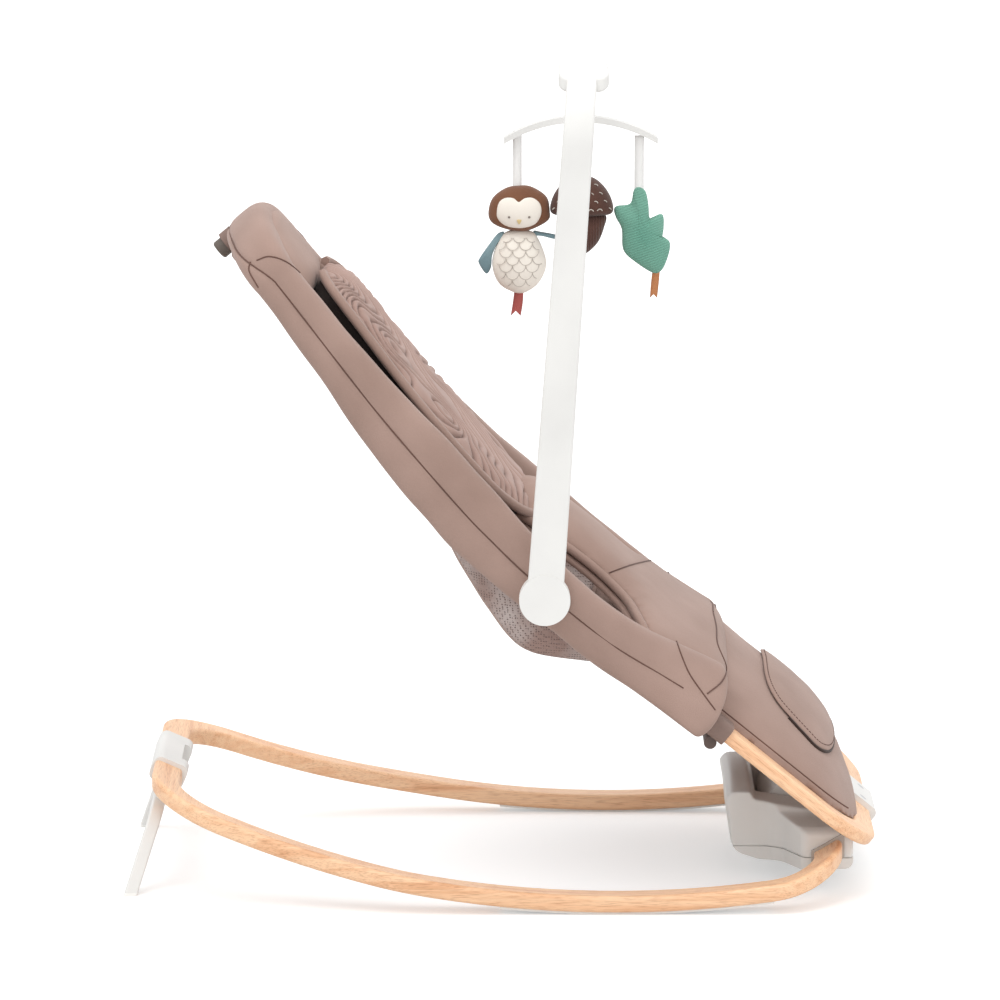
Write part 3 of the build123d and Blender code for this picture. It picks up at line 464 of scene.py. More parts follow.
JERSEY = Knit("jersey_taupe", (170, 143, 132), (156, 130, 119))
# Jersey for the sling panels; the back panel takes painted shadow from the point attribute.
JERSEY_PAINTED_SHADE = Knit("jersey_painted_shade", (170, 143, 132), (156, 130, 119), paints_shade=True)
# Quilted jersey that takes painted shade in its channels and painted shadow on its underside.
QUILT = Knit("quilted_jersey", (180, 152, 142), (166, 138, 128), paints_shade=True)
SEAM_BROWN = Knit("seam_thread", (112, 84, 74), (96, 72, 64), pitch=0.7)
MESH = MeshCloth("mesh_side", (150, 125, 117), (106, 88, 83), pitch=2.4)
OWL_BROWN = Knit("owl_brown_knit", (134, 92, 68), (114, 76, 56), pitch=1.6, depth=0.0005)
CREAM = Knit("cream_knit", (240, 230, 214), (228, 216, 196), pitch=1.4, depth=0.0004, speckle=0.1)
TEAL = Knit("teal_cloth", (134, 158, 164), (108, 134, 142), pitch=0.9)
ACORN_BROWN = Knit("acorn_brown_knit", (98, 68, 58), (74, 50, 44), pitch=1.5, depth=0.0005)
NUT_BROWN = Knit("nut_brown_rib", (104, 72, 62), (78, 54, 48), pitch=1.2, ribs=2.6, rib_turn=1.57)
LEAF_GREEN = Knit("leaf_green_rib", (138, 190, 170), (112, 170, 150), pitch=1.2, ribs=2.4, rib_turn=0.35)
# Dark tone painted as the shadow in the pocket flap's slit.
SLIT_SHADE = Knit("slit_painted_shadow", (72, 56, 50), (52, 40, 36), pitch=0.6)
BEAK = Knit("beak_thread", (222, 200, 150), (206, 182, 130), pitch=0.6)
EYE_GREY = Knit("eye_thread", (150, 140, 132), (132, 122, 114), pitch=0.6)
SCALLOP = Knit("scallop_thread", (206, 198, 188), (182, 176, 168), pitch=0.6)
WHITE_TAPE = Webbing("white_tape", (254, 253, 251))
ROSE_TAPE = Webbing("rose_tape", (184, 92, 86))
OCHRE_TAPE = Webbing("ochre_tape", (200, 132, 86))
SLOT_FINISHES = {
    "oak": Oak("oak_rails"),
    "white_plastic": Moulded("white_satin_plastic", (230, 229, 226)),
    "white_rubber": Moulded("white_soft_rubber", (244, 243, 239), rough=0.62),
    "grey_rubber": Moulded("grey_rubber", (120, 112, 106), rough=0.7),
    "steel": Moulded("brushed_steel", (196, 196, 198), rough=0.3, metal=1.0),
    "taupe_plastic": Moulded("taupe_plastic", (124, 108, 98), rough=0.5, grain=0.0002),
    "taupe_mesh": MESH,
    "quilted_taupe": QUILT,
    "taupe_fabric": JERSEY,
    "brown_knit": OWL_BROWN,
    "cream_knit": CREAM,
    "teal_fabric": TEAL,
    "rose_ribbon": ROSE_TAPE,
    "acorn_knit": ACORN_BROWN,
    "green_rib_knit": LEAF_GREEN,
    "ochre_ribbon": OCHRE_TAPE,
    "white_webbing": WHITE_TAPE,
}
CUFF = Moulded("taupe_cuff", (132, 110, 101), rough=0.75, grain=0.0003)
NODE_FINISHES = {
    "seat_wood_loop": Oak("oak_loop", turn_half=0.14, slope=LOOP_SLOPE),
    "kickstand_feet": SLOT_FINISHES["white_rubber"],
    "recline_button": Moulded("knob_grey", (98, 88, 80), rough=0.5),
    "button_cup": CUFF,
    "rail_gaskets": Moulded("gasket_grey", (186, 180, 174), rough=0.7),
    "cross_bar": Moulded("bar_taupe", (92, 76, 70), rough=0.6),
    "ferrule_left": CUFF,
    "ferrule_right": CUFF,
}


# Meshes


def wear(mesh: bpy.types.Mesh, material: bpy.types.Material) -> None:
    """Gives a mesh one material."""
    mesh.materials.clear()
    mesh.materials.append(material)


def weld(mesh: bpy.types.Mesh, outward: bool) -> None:
    """Joins vertices in one place, and turns the faces outward where asked."""
    work = bmesh.new()
    work.from_mesh(mesh)
    bmesh.ops.remove_doubles(work, verts=work.verts, dist=1e-6)
    if outward:
        bmesh.ops.recalc_face_normals(work, faces=work.faces)
    work.to_mesh(mesh)
    work.free()


def make_piece(
    name: str, points: np.ndarray, faces: Sequence, finish: Finish, levels: int = 0
) -> bpy.types.Object:
    """Makes a smooth closed mesh from drawing points.

    Args:
        name: object name.
        points: vertices in drawing millimetres.
        faces: vertex numbers of each face.
        finish: finish that gives the material.
        levels: live subdivision levels.

    Returns:
        The new object.
    """
    mesh = bpy.data.meshes.new(name)
    mesh.from_pydata(to_row(points).tolist(), [], faces)
    weld(mesh, True)
    mesh.shade_smooth()
    item = linked(name, mesh)
    wear(mesh, finish.material())
    if levels:
        refine(item, levels)
    return item


def loft_faces(rings: int, size: int) -> list[tuple[int, ...]]:
    """Faces of a capped tube of closed rings."""
    faces = [tuple(range(size))]
    for ring in range(rings - 1):
        for step in range(size):
            first = ring * size + step
            second = ring * size + (step + 1) % size
            faces.append((first, second, second + size, first + size))
    faces.append(tuple(range((rings - 1) * size, rings * size))[::-1])
    return faces


def settled_mesh(item: bpy.types.Object) -> bpy.types.Mesh:
    """The object's mesh with all its modifiers in it."""
    graph = bpy.context.evaluated_depsgraph_get()
    graph.update()
    return bpy.data.meshes.new_from_object(item.evaluated_get(graph))


def vertex_rows(mesh: bpy.types.Mesh, kind: str = "co") -> np.ndarray:
    """All vertices' places, or their normals, as rows."""
    values = np.zeros(len(mesh.vertices) * 3)
    mesh.vertices.foreach_get(kind, values)
    return values.reshape(-1, 3)


def bake(item: bpy.types.Object) -> None:
    """Puts the modifiers' result into the object's own mesh."""
    mesh = settled_mesh(item)
    item.modifiers.clear()
    item.data = mesh
    mesh.shade_smooth()


def remesh(item: bpy.types.Object, voxel: float) -> None:
    """Adds a remesh into even faces of a size in metres."""
    modifier = item.modifiers.new("Remesh", "REMESH")
    modifier.mode = "VOXEL"
    modifier.voxel_size = voxel


def relax(item: bpy.types.Object, rounds: int) -> None:
    """Adds a smoothing of a number of rounds."""
    modifier = item.modifiers.new("Relax", "SMOOTH")
    modifier.factor = 0.5
    modifier.iterations = rounds


def refine(item: bpy.types.Object, levels: int) -> None:
    """Adds a subdivision."""
    modifier = item.modifiers.new("Smooth", "SUBSURF")
    modifier.levels = modifier.render_levels = levels


def inflate(item: bpy.types.Object, cap: float, voxel: float) -> None:
    """Swells a pad by cloth pressure from inside, then smooths it.

    Args:
        item: closed pad.
        cap: farthest that a point may move, in metres.
        voxel: edge of the remeshed faces, in metres.
    """
    material = item.data.materials[0]
    remesh(item, voxel)
    bake(item)
    start = vertex_rows(item.data)
    cloth = item.modifiers.new("Cloth", "CLOTH")
    cloth.settings.use_pressure = True
    cloth.settings.uniform_pressure_force = CLOTH_PRESSURE
    cloth.settings.quality = 4
    cloth.settings.effector_weights.gravity = 0.0
    cloth.point_cache.frame_start = 1
    cloth.point_cache.frame_end = CLOTH_FRAMES
    for number in range(1, CLOTH_FRAMES + 1):
        bpy.context.scene.frame_set(number)
    moved = vertex_rows(settled_mesh(item)) - start
    item.modifiers.clear()
    reach = np.linalg.norm(moved, axis=1, keepdims=True)
    start = start + moved * np.minimum(1.0, cap / np.maximum(reach, 1e-9))
    item.data.vertices.foreach_set("co", start.ravel())
    bpy.context.scene.frame_set(1)
    relax(item, 4)
    refine(item, 1)
    bake(item)
    wear(item.data, material)


def keep_painted_shade(mesh: bpy.types.Mesh, values: np.ndarray) -> None:
    """Stores the painted shade and shadow of each vertex, from 0 to 1."""
    mesh.attributes.new(PAINTED_SHADE_ATTRIBUTE, "FLOAT", "POINT").data.foreach_set("value", values)


def settle(
    item: bpy.types.Object, body: Body, nodes: Sequence[str] = ()
) -> None:
    """Declares a finished piece to the frame.

    Args:
        item: the piece.
        body: what it moves with.
        nodes: solids that it stands for.
    """
    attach(item, body.value)
    if nodes:
        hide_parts(*nodes)
    LOG.info("%s: %d faces", item.name, len(item.data.polygons))


# Lines that Geometry Nodes turn into seams and stitches


class LineKind(Enum):
    """What is made along a line."""

    PIPE = "pipe"
    STITCH = "stitch"


class LineTree(Board):
    """Geometry Nodes tree that follows lines with a pipe or with single stitches."""

    thread_share = 0.62

    def __init__(self, kind: LineKind, finish: Finish) -> None:
        super().__init__(bpy.data.node_groups.new(f"{kind.value}_{finish.name}", "GeometryNodeTree"))
        self.tree.is_modifier = True
        self.socket("Lines", "INPUT", "Geometry")
        self.radius = self.socket("Radius", "INPUT", "Float")
        self.pitch = self.socket("Pitch", "INPUT", "Float")
        self.socket("Mesh", "OUTPUT", "Geometry")
        start = self.add("NodeGroupInput")
        curve = self.add("GeometryNodeMeshToCurve", Mesh=start.outputs["Lines"])
        made = self.pipes(start, curve) if kind is LineKind.PIPE else self.stitches(start, curve)
        smooth = self.add("GeometryNodeSetShadeSmooth", Geometry=made)
        whole = self.add("GeometryNodeRealizeInstances", Geometry=smooth.outputs[0])
        dress = self.add("GeometryNodeSetMaterial", Geometry=whole.outputs[0])
        dress.inputs["Material"].default_value = finish.material()
        self.add("NodeGroupOutput", Mesh=dress.outputs[0])

    def socket(self, name: str, side: str, kind: str) -> str:
        """Adds a socket to the tree and gives its identifier."""
        made = self.tree.interface.new_socket(name, in_out=side, socket_type=f"NodeSocket{kind}")
        return made.identifier

    def pipes(self, start: bpy.types.Node, curve: bpy.types.Node) -> bpy.types.NodeSocket:
        """Round tube along each line."""
        ring = self.add("GeometryNodeCurvePrimitiveCircle", Resolution=6, Radius=start.outputs["Radius"])
        tube = self.add("GeometryNodeCurveToMesh", Curve=curve.outputs[0], Fill_Caps=True)
        self.feed(tube.inputs["Profile Curve"], ring.outputs[0])
        return tube.outputs[0]

    def stitches(self, start: bpy.types.Node, curve: bpy.types.Node) -> bpy.types.NodeSocket:
        """Short thread at even steps along each line."""
        pitch, radius = start.outputs["Pitch"], start.outputs["Radius"]
        steps = self.add("GeometryNodeCurveToPoints", Curve=curve.outputs[0])
        steps.mode = "LENGTH"
        self.feed(steps.inputs["Length"], pitch)
        length = self.math("MULTIPLY", pitch, self.thread_share)
        thread = self.add("GeometryNodeMeshCylinder", Vertices=6, Radius=radius, Depth=length)
        spread = self.add(
            "GeometryNodeInstanceOnPoints",
            Points=steps.outputs["Points"],
            Instance=thread.outputs["Mesh"],
            Rotation=steps.outputs["Rotation"],
        )
        return spread.outputs[0]

    def make(
        self, name: str, lines: Sequence[np.ndarray], radius: float, pitch: float = 4.0
    ) -> bpy.types.Object:
        """Runs the tree on lines given in drawing millimetres.

        Args:
            name: object name.
            lines: points of each line.
            radius: thread or tube radius in millimetres.
            pitch: step between stitches in millimetres.

        Returns:
            A plain mesh object.
        """
        points: list = []
        edges: list = []
        for line in lines:
            first = len(points)
            points.extend(to_row(line).tolist())
            edges.extend((first + step, first + step + 1) for step in range(len(line) - 1))
        mesh = bpy.data.meshes.new(name)
        mesh.from_pydata(points, edges, [])
        item = linked(name, mesh)
        modifier = item.modifiers.new("Lines", "NODES")
        modifier.node_group = self.tree
        modifier[self.radius] = radius / 1000
        modifier[self.pitch] = pitch / 1000
        made = settled_mesh(item)
        item.modifiers.clear()
        item.data = made
        return item


# Padded cover


@dataclass(frozen=True)
class SeatLine:
    """Side line of the seat from the knee to the head: half span, Y, Z, sleeve low and high, sag."""

    stations: tuple = (
        (172, -192, 206, -36, 23, 20),
        (181, -150, 226, -28, 26, 24),
        (190, -105, 252, -25, 29, 30),
        (198, -62, 287, -24, 28, 66),
        (190, -20, 319, -24, 33, 55),
        (170, 12, 343, -24, 38, 38),
        (154, 36, 367, -27, 38, 25),
        (138, 78, 417, -29, 34, 22),
        (125, 117, 463, -26, 29, 24),
        (113, 154, 507, -21, 26, 22),
        (104, 186, 545, -18, 26, 20),
        (98, 212, 576, -16, 26, 16),
    )

    def table(self) -> np.ndarray:
        """Stations as rows of numbers."""
        return np.array(self.stations, float)

    def at(self, place: np.ndarray) -> np.ndarray:
        """Rows of half span, Y, Z, low, high and sag at station positions."""
        return along(self.table(), np.asarray(place, float))

    def slope(self, place: np.ndarray) -> np.ndarray:
        """Slope angle of the side line at station positions."""
        place = np.asarray(place, float)
        ahead = self.at(place + 0.25)
        behind = self.at(place - 0.25)
        return np.arctan2(ahead[:, 2] - behind[:, 2], ahead[:, 1] - behind[:, 1])

    def points(self, place: np.ndarray, across: np.ndarray, above: np.ndarray) -> np.ndarray:
        """Drawing points from positions along, across and above the side line.

        Args:
            place: station position of each row.
            across: X of each point in a row.
            above: height of each point over the side line.

        Returns:
            Array of rows by points by three.
        """
        values = self.at(place)
        slope = self.slope(place)[:, None]
        y = values[:, 1:2] - np.sin(slope) * above
        z = values[:, 2:3] + np.cos(slope) * above
        return np.stack([across, y, z], axis=-1)


LINE = SeatLine()


def ring_profile(count: int, power: float) -> tuple[np.ndarray, np.ndarray]:
    """Across and thickness shares of a closed flat ring, top first.

    Args:
        count: points of the upper side.
        power: how square the sides are.

    Returns:
        Shares across from -1 to 1, and shares of the thickness from -1 to 1.
    """
    across = np.sin(np.linspace(-1, 1, count) * math.pi / 2)
    thick = np.sqrt(np.maximum(1 - np.abs(across) ** power, 0))
    return np.concatenate([across, across[-2:0:-1]]), np.concatenate([thick, -thick[-2:0:-1]])


def facing_up(mesh: bpy.types.Mesh) -> np.ndarray:
    """How far each vertex faces up from the back's slope, from -1 to 1."""
    normals = vertex_rows(mesh, "normal")
    return normals[:, 2] * math.cos(BACK_SLOPE) - normals[:, 1] * math.sin(BACK_SLOPE)


def crowned(values: np.ndarray, across: np.ndarray) -> np.ndarray:
    """Middle height of a pad that is crowned across.

    Args:
        values: rows with edge height, crown height and thickness in columns 2 to 4.
        across: shares across from -1 to 1.

    Returns:
        Height of each point of each row.
    """
    edge, crown, thick = values[:, 2:3], values[:, 3:4], values[:, 4:5]
    return edge + (crown - edge) * (1 - across**2) - thick / 2


def round_end(distance: np.ndarray, radius: float) -> np.ndarray:
    """Share of the full size near an end that is rounded with a radius."""
    return np.sqrt(np.maximum(1 - np.clip(1 - distance / radius, 0, 1) ** 2, 0.0004))


@dataclass
class SeatRim:
    """Padded rim: near sleeve, head end and far sleeve in one run."""

    half_wide: float = 17.0
    head_rise: float = 40.0
    head_half: float = 98.0
    ring: int = 64
    squareness: float = 0.72
    seam_turn: float = 0.55
    seam_run: float = 0.644
    knee_lean: float = 1.1
    ripple: float = 1.1
    ripple_size: float = 38.0
    seams: list = field(default_factory=list)

    def frames(self) -> list[tuple[np.ndarray, np.ndarray, np.ndarray, float, float, float]]:
        """Rings from the near knee over the head to the far knee.

        Returns:
            Centre, outward, normal, low, high and half width of each ring.
        """
        rows = []
        places = np.concatenate([np.linspace(-0.42, -0.05, 10), np.linspace(0, 11, 111)])
        values = LINE.at(places)
        slopes = LINE.slope(places)
        for place, (half, y, z, low, high, _), slope in zip(places, values, slopes):
            share = float(round_end(np.array([place + 0.43]), 0.36)[0])
            middle = (low + high) / 2
            lean = self.knee_lean * (1 - float(rise(0.0, 2.2, np.array(place))))
            normal = np.array([lean, -math.sin(slope), math.cos(slope)])
            centre = np.array([-half, y, z])
            low, high = middle + (low - middle) * share, middle + (high - middle) * share
            half_wide = self.half_wide * (0.55 + 0.45 * share)
            rows.append((centre, np.array([-1.0, 0, 0]), normal, low, high, half_wide))
        far = [(*(way * MIRROR for way in row[:3]), *row[3:]) for row in rows[::-1]]
        return rows + self.head_frames() + far

    def head_frames(self) -> list[tuple]:
        """Rings round the head end, which is half an ellipse in plan."""
        ahead = np.array([0, math.cos(BACK_SLOPE), math.sin(BACK_SLOPE)])
        normal = np.array([0, -math.sin(BACK_SLOPE), math.cos(BACK_SLOPE)])
        start = np.array([0, HEAD_Y, HEAD_Z])
        rows = []
        for angle in np.linspace(0, math.pi, 64)[1:-1]:
            share = math.sin(angle)
            aside = np.array([-math.cos(angle), 0, 0])
            outward = aside / self.head_half + ahead * share / self.head_rise
            point = start + aside * self.head_half + ahead * share * self.head_rise
            outward /= np.linalg.norm(outward)
            rows.append((point, outward, normal, -16 - share, 26 + 5 * share, self.half_wide + 3 * share))
        return rows

    def build(self) -> bpy.types.Object:
        """Makes the rim and keeps the places of its seams."""
        rows = self.frames()
        angle = np.linspace(0, 2 * math.pi, self.ring, endpoint=False)
        groove = sum(0.09 * np.exp(-(((angle - turn) / 0.1) ** 2)) for turn in (0.0, 2 * math.pi))
        points = []
        outer = []
        for centre, outward, normal, low, high, half in rows:
            middle, tall = (low + high) / 2, (high - low) / 2
            turn = self.seam_turn * float(rise(0.0, 30.0, np.array((centre[1] - HEAD_Y) / self.seam_run)))
            across, upward = squarish(angle - turn, self.squareness)
            ring = centre + np.outer(half * across * (1 - groove), outward)
            ring = ring + np.outer(middle + tall * upward, normal)
            points.append(ring)
            outer.append(ring[0] + outward * 0.3)
        cloud = np.array(points).reshape(-1, 3)
        wave = np.array([noise.noise(Vector(point / self.ripple_size)) for point in cloud])
        middle = np.repeat(np.array([row[0] for row in rows]), self.ring, axis=0)
        away = cloud - middle
        cloud = cloud + away / np.linalg.norm(away, axis=1, keepdims=True) * wave[:, None] * self.ripple
        self.seams.append(np.array(outer)[15:-15])
        return make_piece("seat_rim", cloud, loft_faces(len(rows), self.ring), JERSEY, 1)

    def dress(self) -> bpy.types.Object:
        item = self.build()
        settle(item, Body.SEAT, ("sleeve_left", "sleeve_right", "head_bolster"))
        return item


@dataclass
class HeadPad:
    """Soft filling inside the head end, which runs smoothly into the rim."""

    half: float = 92.0
    start: float = -37.0
    end: float = 46.0
    rise: float = 54.0
    crown: tuple = (14.5, 11.0, 21.5)

    def build(self) -> bpy.types.Object:
        """Makes the crowned filling."""
        count = 48
        place = np.linspace(self.start, self.end, count)
        size = round_end(place - self.start, 24) * round_end(self.end - place, 14)
        across, thick = ring_profile(41, 6)
        middle, fall, swell = self.crown
        rings = []
        for step, share in zip(place, size):
            narrow = math.sqrt(1 - (max(step, 0.0) / self.rise) ** 2)
            x = self.half * across * (0.8 + 0.2 * share) * narrow
            above = middle - fall * across**2 + swell * thick * share
            rings.append(np.stack([x, *on_slope((HEAD_Y, HEAD_Z), BACK_SLOPE, step, above)], axis=1))
        return make_piece("head_filling", np.concatenate(rings), loft_faces(count, len(across)), JERSEY, 1)

    def dress(self) -> None:
        settle(self.build(), Body.SEAT, ("head_pad",))


@dataclass
class Sling:
    """Thin padded panels between the sleeves: back, seat bottom and knee."""

    thick: float = 7.0
    tuck: float = 17.0
    deep_tuck: float = 16.0
    head_step: float = 28.0
    last: int = 11

    def panel(self, name: str, start: float, end: float, edge: float | None) -> bpy.types.Object:
        """One panel that sags in its middle.

        Args:
            name: object name.
            start: first station position.
            end: last station position.
            edge: height of its sides, or none for the deeper seat bottom.

        Returns:
            The panel.
        """
        count = 40
        place = np.linspace(start, end, count)
        values = LINE.at(np.minimum(place, self.last))
        across, thick = ring_profile(33, 14)
        inner = values[:, 0:1] - self.tuck
        sides = np.full_like(inner, edge) if edge is not None else -0.8 * values[:, 5:6]
        half = inner if edge is not None else inner - self.deep_tuck
        middle = -values[:, 5:6]
        above = middle + (sides - middle) * across**2 - self.thick / 2 + thick * self.thick / 2
        points = LINE.points(np.minimum(place, self.last), half * across, above)
        beyond = np.maximum(place - self.last, 0)[:, None] * self.head_step
        points[:, :, 1] += math.cos(BACK_SLOPE) * beyond
        points[:, :, 2] += math.sin(BACK_SLOPE) * beyond
        item = make_piece(name, points.reshape(-1, 3), loft_faces(count, len(across)), JERSEY_PAINTED_SHADE, 1)
        # Painted shadow: the back panel's upper side is darkened, standing for the shade in the gap beside
        # the insert.
        up = facing_up(item.data)
        inside = np.clip(up * 3, 0, 0.9) if name == "back_sling" else np.zeros(len(up))
        keep_painted_shade(item.data, inside)
        return item

    def dress(self) -> None:
        for name, start, end, edge, node in (
            ("back_sling", 5.9, 12.4, -4.0, "back_panel"),
            ("seat_sling", 1.9, 6.1, None, "seat_bottom"),
            ("knee_sling", 0.0, 2.1, -4.0, "knee_panel"),
        ):
            settle(self.panel(name, start, end, edge), Body.SEAT, (node,))


@dataclass
class MeshGussets:
    """Mesh sides of the seat pocket."""

    thick: float = 2.4
    top: float = -2.0
    tuck: float = 15.0
    slant: float = 16.0
    lower: tuple = (-28, -58, -49, -35, -24)

    def build(self, side: int) -> bpy.types.Object:
        """One gusset; side is -1 for the near one."""
        count = 36
        place = np.linspace(2, 6, count)
        values = LINE.at(place)
        low = along(np.array(self.lower, float)[:, None], place - 2)
        down = np.linspace(0, 1, 14)[None, :]
        bulge = 5 * np.sin(down * math.pi)
        half = values[:, 0:1] - self.tuck - down * self.slant + bulge
        above = self.top + (low - self.top) * down
        outer = LINE.points(place, side * half, above)
        inner = LINE.points(place, side * (half - self.thick), above)
        ring = np.concatenate([outer, inner[:, ::-1]], axis=1)
        name = "gusset_near" if side < 0 else "gusset_far"
        return make_piece(name, ring.reshape(-1, 3), loft_faces(count, ring.shape[1]), MESH)

    def dress(self) -> None:
        """Builds and declares both sides."""
        for side, node in ((-1, "mesh_gusset_left"), (1, "mesh_gusset_right")):
            settle(self.build(side), Body.SEAT, (node,))


@dataclass
class InfantInsert:
    """Quilted mattress on the back, bound along its edge.

    Its rows are station position, half width, edge height, crown height and thickness.
    """

    rows: tuple = (
        (4.2, 74, 36, 40, 10),
        (4.7, 84, 37, 41, 10),
        (5.4, 98, 38, 42, 10),
        (6, 108, 38.5, 42.5, 10),
        (7, 110, 37.5, 41, 10),
        (8, 102, 38, 41, 10),
        (9, 90, 40, 45, 10),
        (9.8, 78, 41, 45, 10),
        (10.25, 60, 40, 43, 10),
    )
    belly: float = 34.0
    spacing: float = 14.0
    depth: float = 6.0
    edge_lines: list = field(default_factory=list)
    knots: tuple = (
        (-62, 150, 46), (-66, 205, 44), (-30, 245, -40), (40, 96, 30), (-74, 70, -34), (50, 190, 30)
    )
    knot_size: float = 26.0
    grain: Corner = (0.5, 0.72)
    waves: tuple = ((34, 74, 3.7), (9, 30, 9.1))
    quilt_foot: Corner = (36.0, 367.0)
    least_up: float = 0.2

    def outline(self, count: int) -> np.ndarray:
        """Station position, half width, edge height, crown and thickness along the insert."""
        table = np.array(self.rows, float)
        return along(table, np.linspace(0, len(table) - 1, count))

    def build(self) -> bpy.types.Object:
        """Makes the swollen form and sews the quilting into it."""
        count = 90
        values = self.outline(count)
        place = values[:, 0]
        span = 52.0
        start = (place - place[0]) * span
        end = (place[-1] - place) * span
        size = (round_end(start, 30) * round_end(end, 26))[:, None]
        across, thick = ring_profile(45, 7)
        half = values[:, 1:2] * (0.6 + 0.4 * size)
        centre = crowned(values, across)
        lower = values[:, 4:5] / 2 + self.belly * rise(0.06, 0.4, 1 - np.abs(across)) * (thick < 0)
        above = centre + thick * lower * size
        points = LINE.points(place, half * across, above)
        for sign in (-1, 1):
            rim = LINE.points(place, sign * (half + 1.0), centre[:, :1])
            self.edge_lines.append(rim[:, 0])
        item = make_piece("infant_insert_pad", points.reshape(-1, 3), loft_faces(count, len(across)), QUILT)
        inflate(item, 0.0025, 0.0034)
        self.quilt(item.data)
        return item

    def pattern(self, x: float, along_back: float) -> float:
        """Grain-like field whose level lines are the sewn channels."""
        value = self.grain[0] * x - self.grain[1] * along_back
        for push, size, layer in self.waves:
            value += push * noise.noise(Vector((along_back / size, x / size, layer)))
        for centre, height, push in self.knots:
            distance = ((x - centre) / self.knot_size) ** 2 + ((along_back - height) / self.knot_size) ** 2
            value += push * math.exp(-distance)
        return value

    def quilt(self, mesh: bpy.types.Mesh) -> None:
        """Presses the channels into the upper side, paints shade into them and paints shadow onto the
        underside.
        """
        moved = vertex_rows(mesh)
        places = to_drawing(moved)
        normals = vertex_rows(mesh, "normal")
        up = facing_up(mesh)
        # Painted shadow on the underside, which faces down, for the dark gap under the insert's edge.
        painted_shade = np.clip((0.12 - up) * 3, 0, 1)
        cosine, sine = math.cos(BACK_SLOPE), math.sin(BACK_SLOPE)
        for index in np.nonzero(up > self.least_up)[0]:
            x, y, z = places[index]
            run = (y - self.quilt_foot[0]) * cosine + (z - self.quilt_foot[1]) * sine
            phase = self.pattern(x, run) / self.spacing
            gap = abs(phase - math.floor(phase) - 0.5) * 2
            puff = math.sqrt(max(1 - gap**2.4, 0.0))
            fade = min(1.0, (up[index] - self.least_up) * 3)
            moved[index] += normals[index] * (puff - 0.8) * self.depth / 1000 * fade
            # Painted shade in the sewn channels.
            painted_shade[index] = gap**5 * fade * 0.5
        mesh.vertices.foreach_set("co", moved.ravel())
        keep_painted_shade(mesh, painted_shade)
        mesh.update()

    def dress(self) -> None:
        item = self.build()
        settle(item, Body.SEAT, ("infant_insert",))
        binding = LineTree(LineKind.PIPE, JERSEY).make("insert_binding", self.edge_lines, 4.6)
        settle(binding, Body.SEAT, ())


@dataclass
class FrontPanel:
    """Front panel from the knee to a dome between the legs, with bound leg holes.

    Its rows are station position, half width, edge height, crown height and thickness.
    """

    rows: tuple = (
        (-0.5, 140, 8, 14, 10),
        (0, 158, 14, 33, 14),
        (0.5, 164, 17, 36, 14),
        (1.0, 168, 20, 39, 14),
        (1.4, 168, 24, 42, 14),
        (1.75, 142, 32, 43, 14),
        (2.05, 108, 36, 44, 15),
        (2.5, 86, 37, 46, 16),
        (3, 77, 37, 48, 17),
        (4, 68, 36, 50, 19),
        (4.6, 58, 34, 50, 22),
        (5.05, 42, 32, 48, 24),
    )
    edge_lines: list = field(default_factory=list)

    def build(self) -> bpy.types.Object:
        """Makes the crowned panel."""
        count = 120
        table = np.array(self.rows, float)
        values = along(table, np.linspace(0, len(table) - 1, count))
        place = values[:, 0]
        start, end = (place - place[0]) * 45, (place[-1] - place) * 40
        size = (round_end(start, 10) * round_end(end, 34))[:, None]
        across, thick = ring_profile(45, 8)
        half = values[:, 1:2] * (0.45 + 0.55 * size)
        centre = crowned(values, across)
        above = centre + thick * values[:, 4:5] / 2 * size
        chosen = (place > 1.2) & (place < 5.06)
        for sign in (-1, 1):
            for aside, below in ((1, 0), (-3, -8.5)):
                height = centre[chosen][:, :1] + below
                rim = LINE.points(place[chosen], sign * (half[chosen] + aside), height)
                self.edge_lines.append(rim[:, 0])
        points = LINE.points(place, half * across, above)
        item = make_piece("front_panel", points.reshape(-1, 3), loft_faces(count, len(across)), JERSEY)
        inflate(item, 0.0035, 0.0045)
        return item

    def dress(self) -> bpy.types.Object:
        item = self.build()
        settle(item, Body.SEAT, ("crotch_bib",))
        binding = LineTree(LineKind.PIPE, JERSEY).make("leg_hole_binding", self.edge_lines, 4.6)
        settle(binding, Body.SEAT, ())
        return item


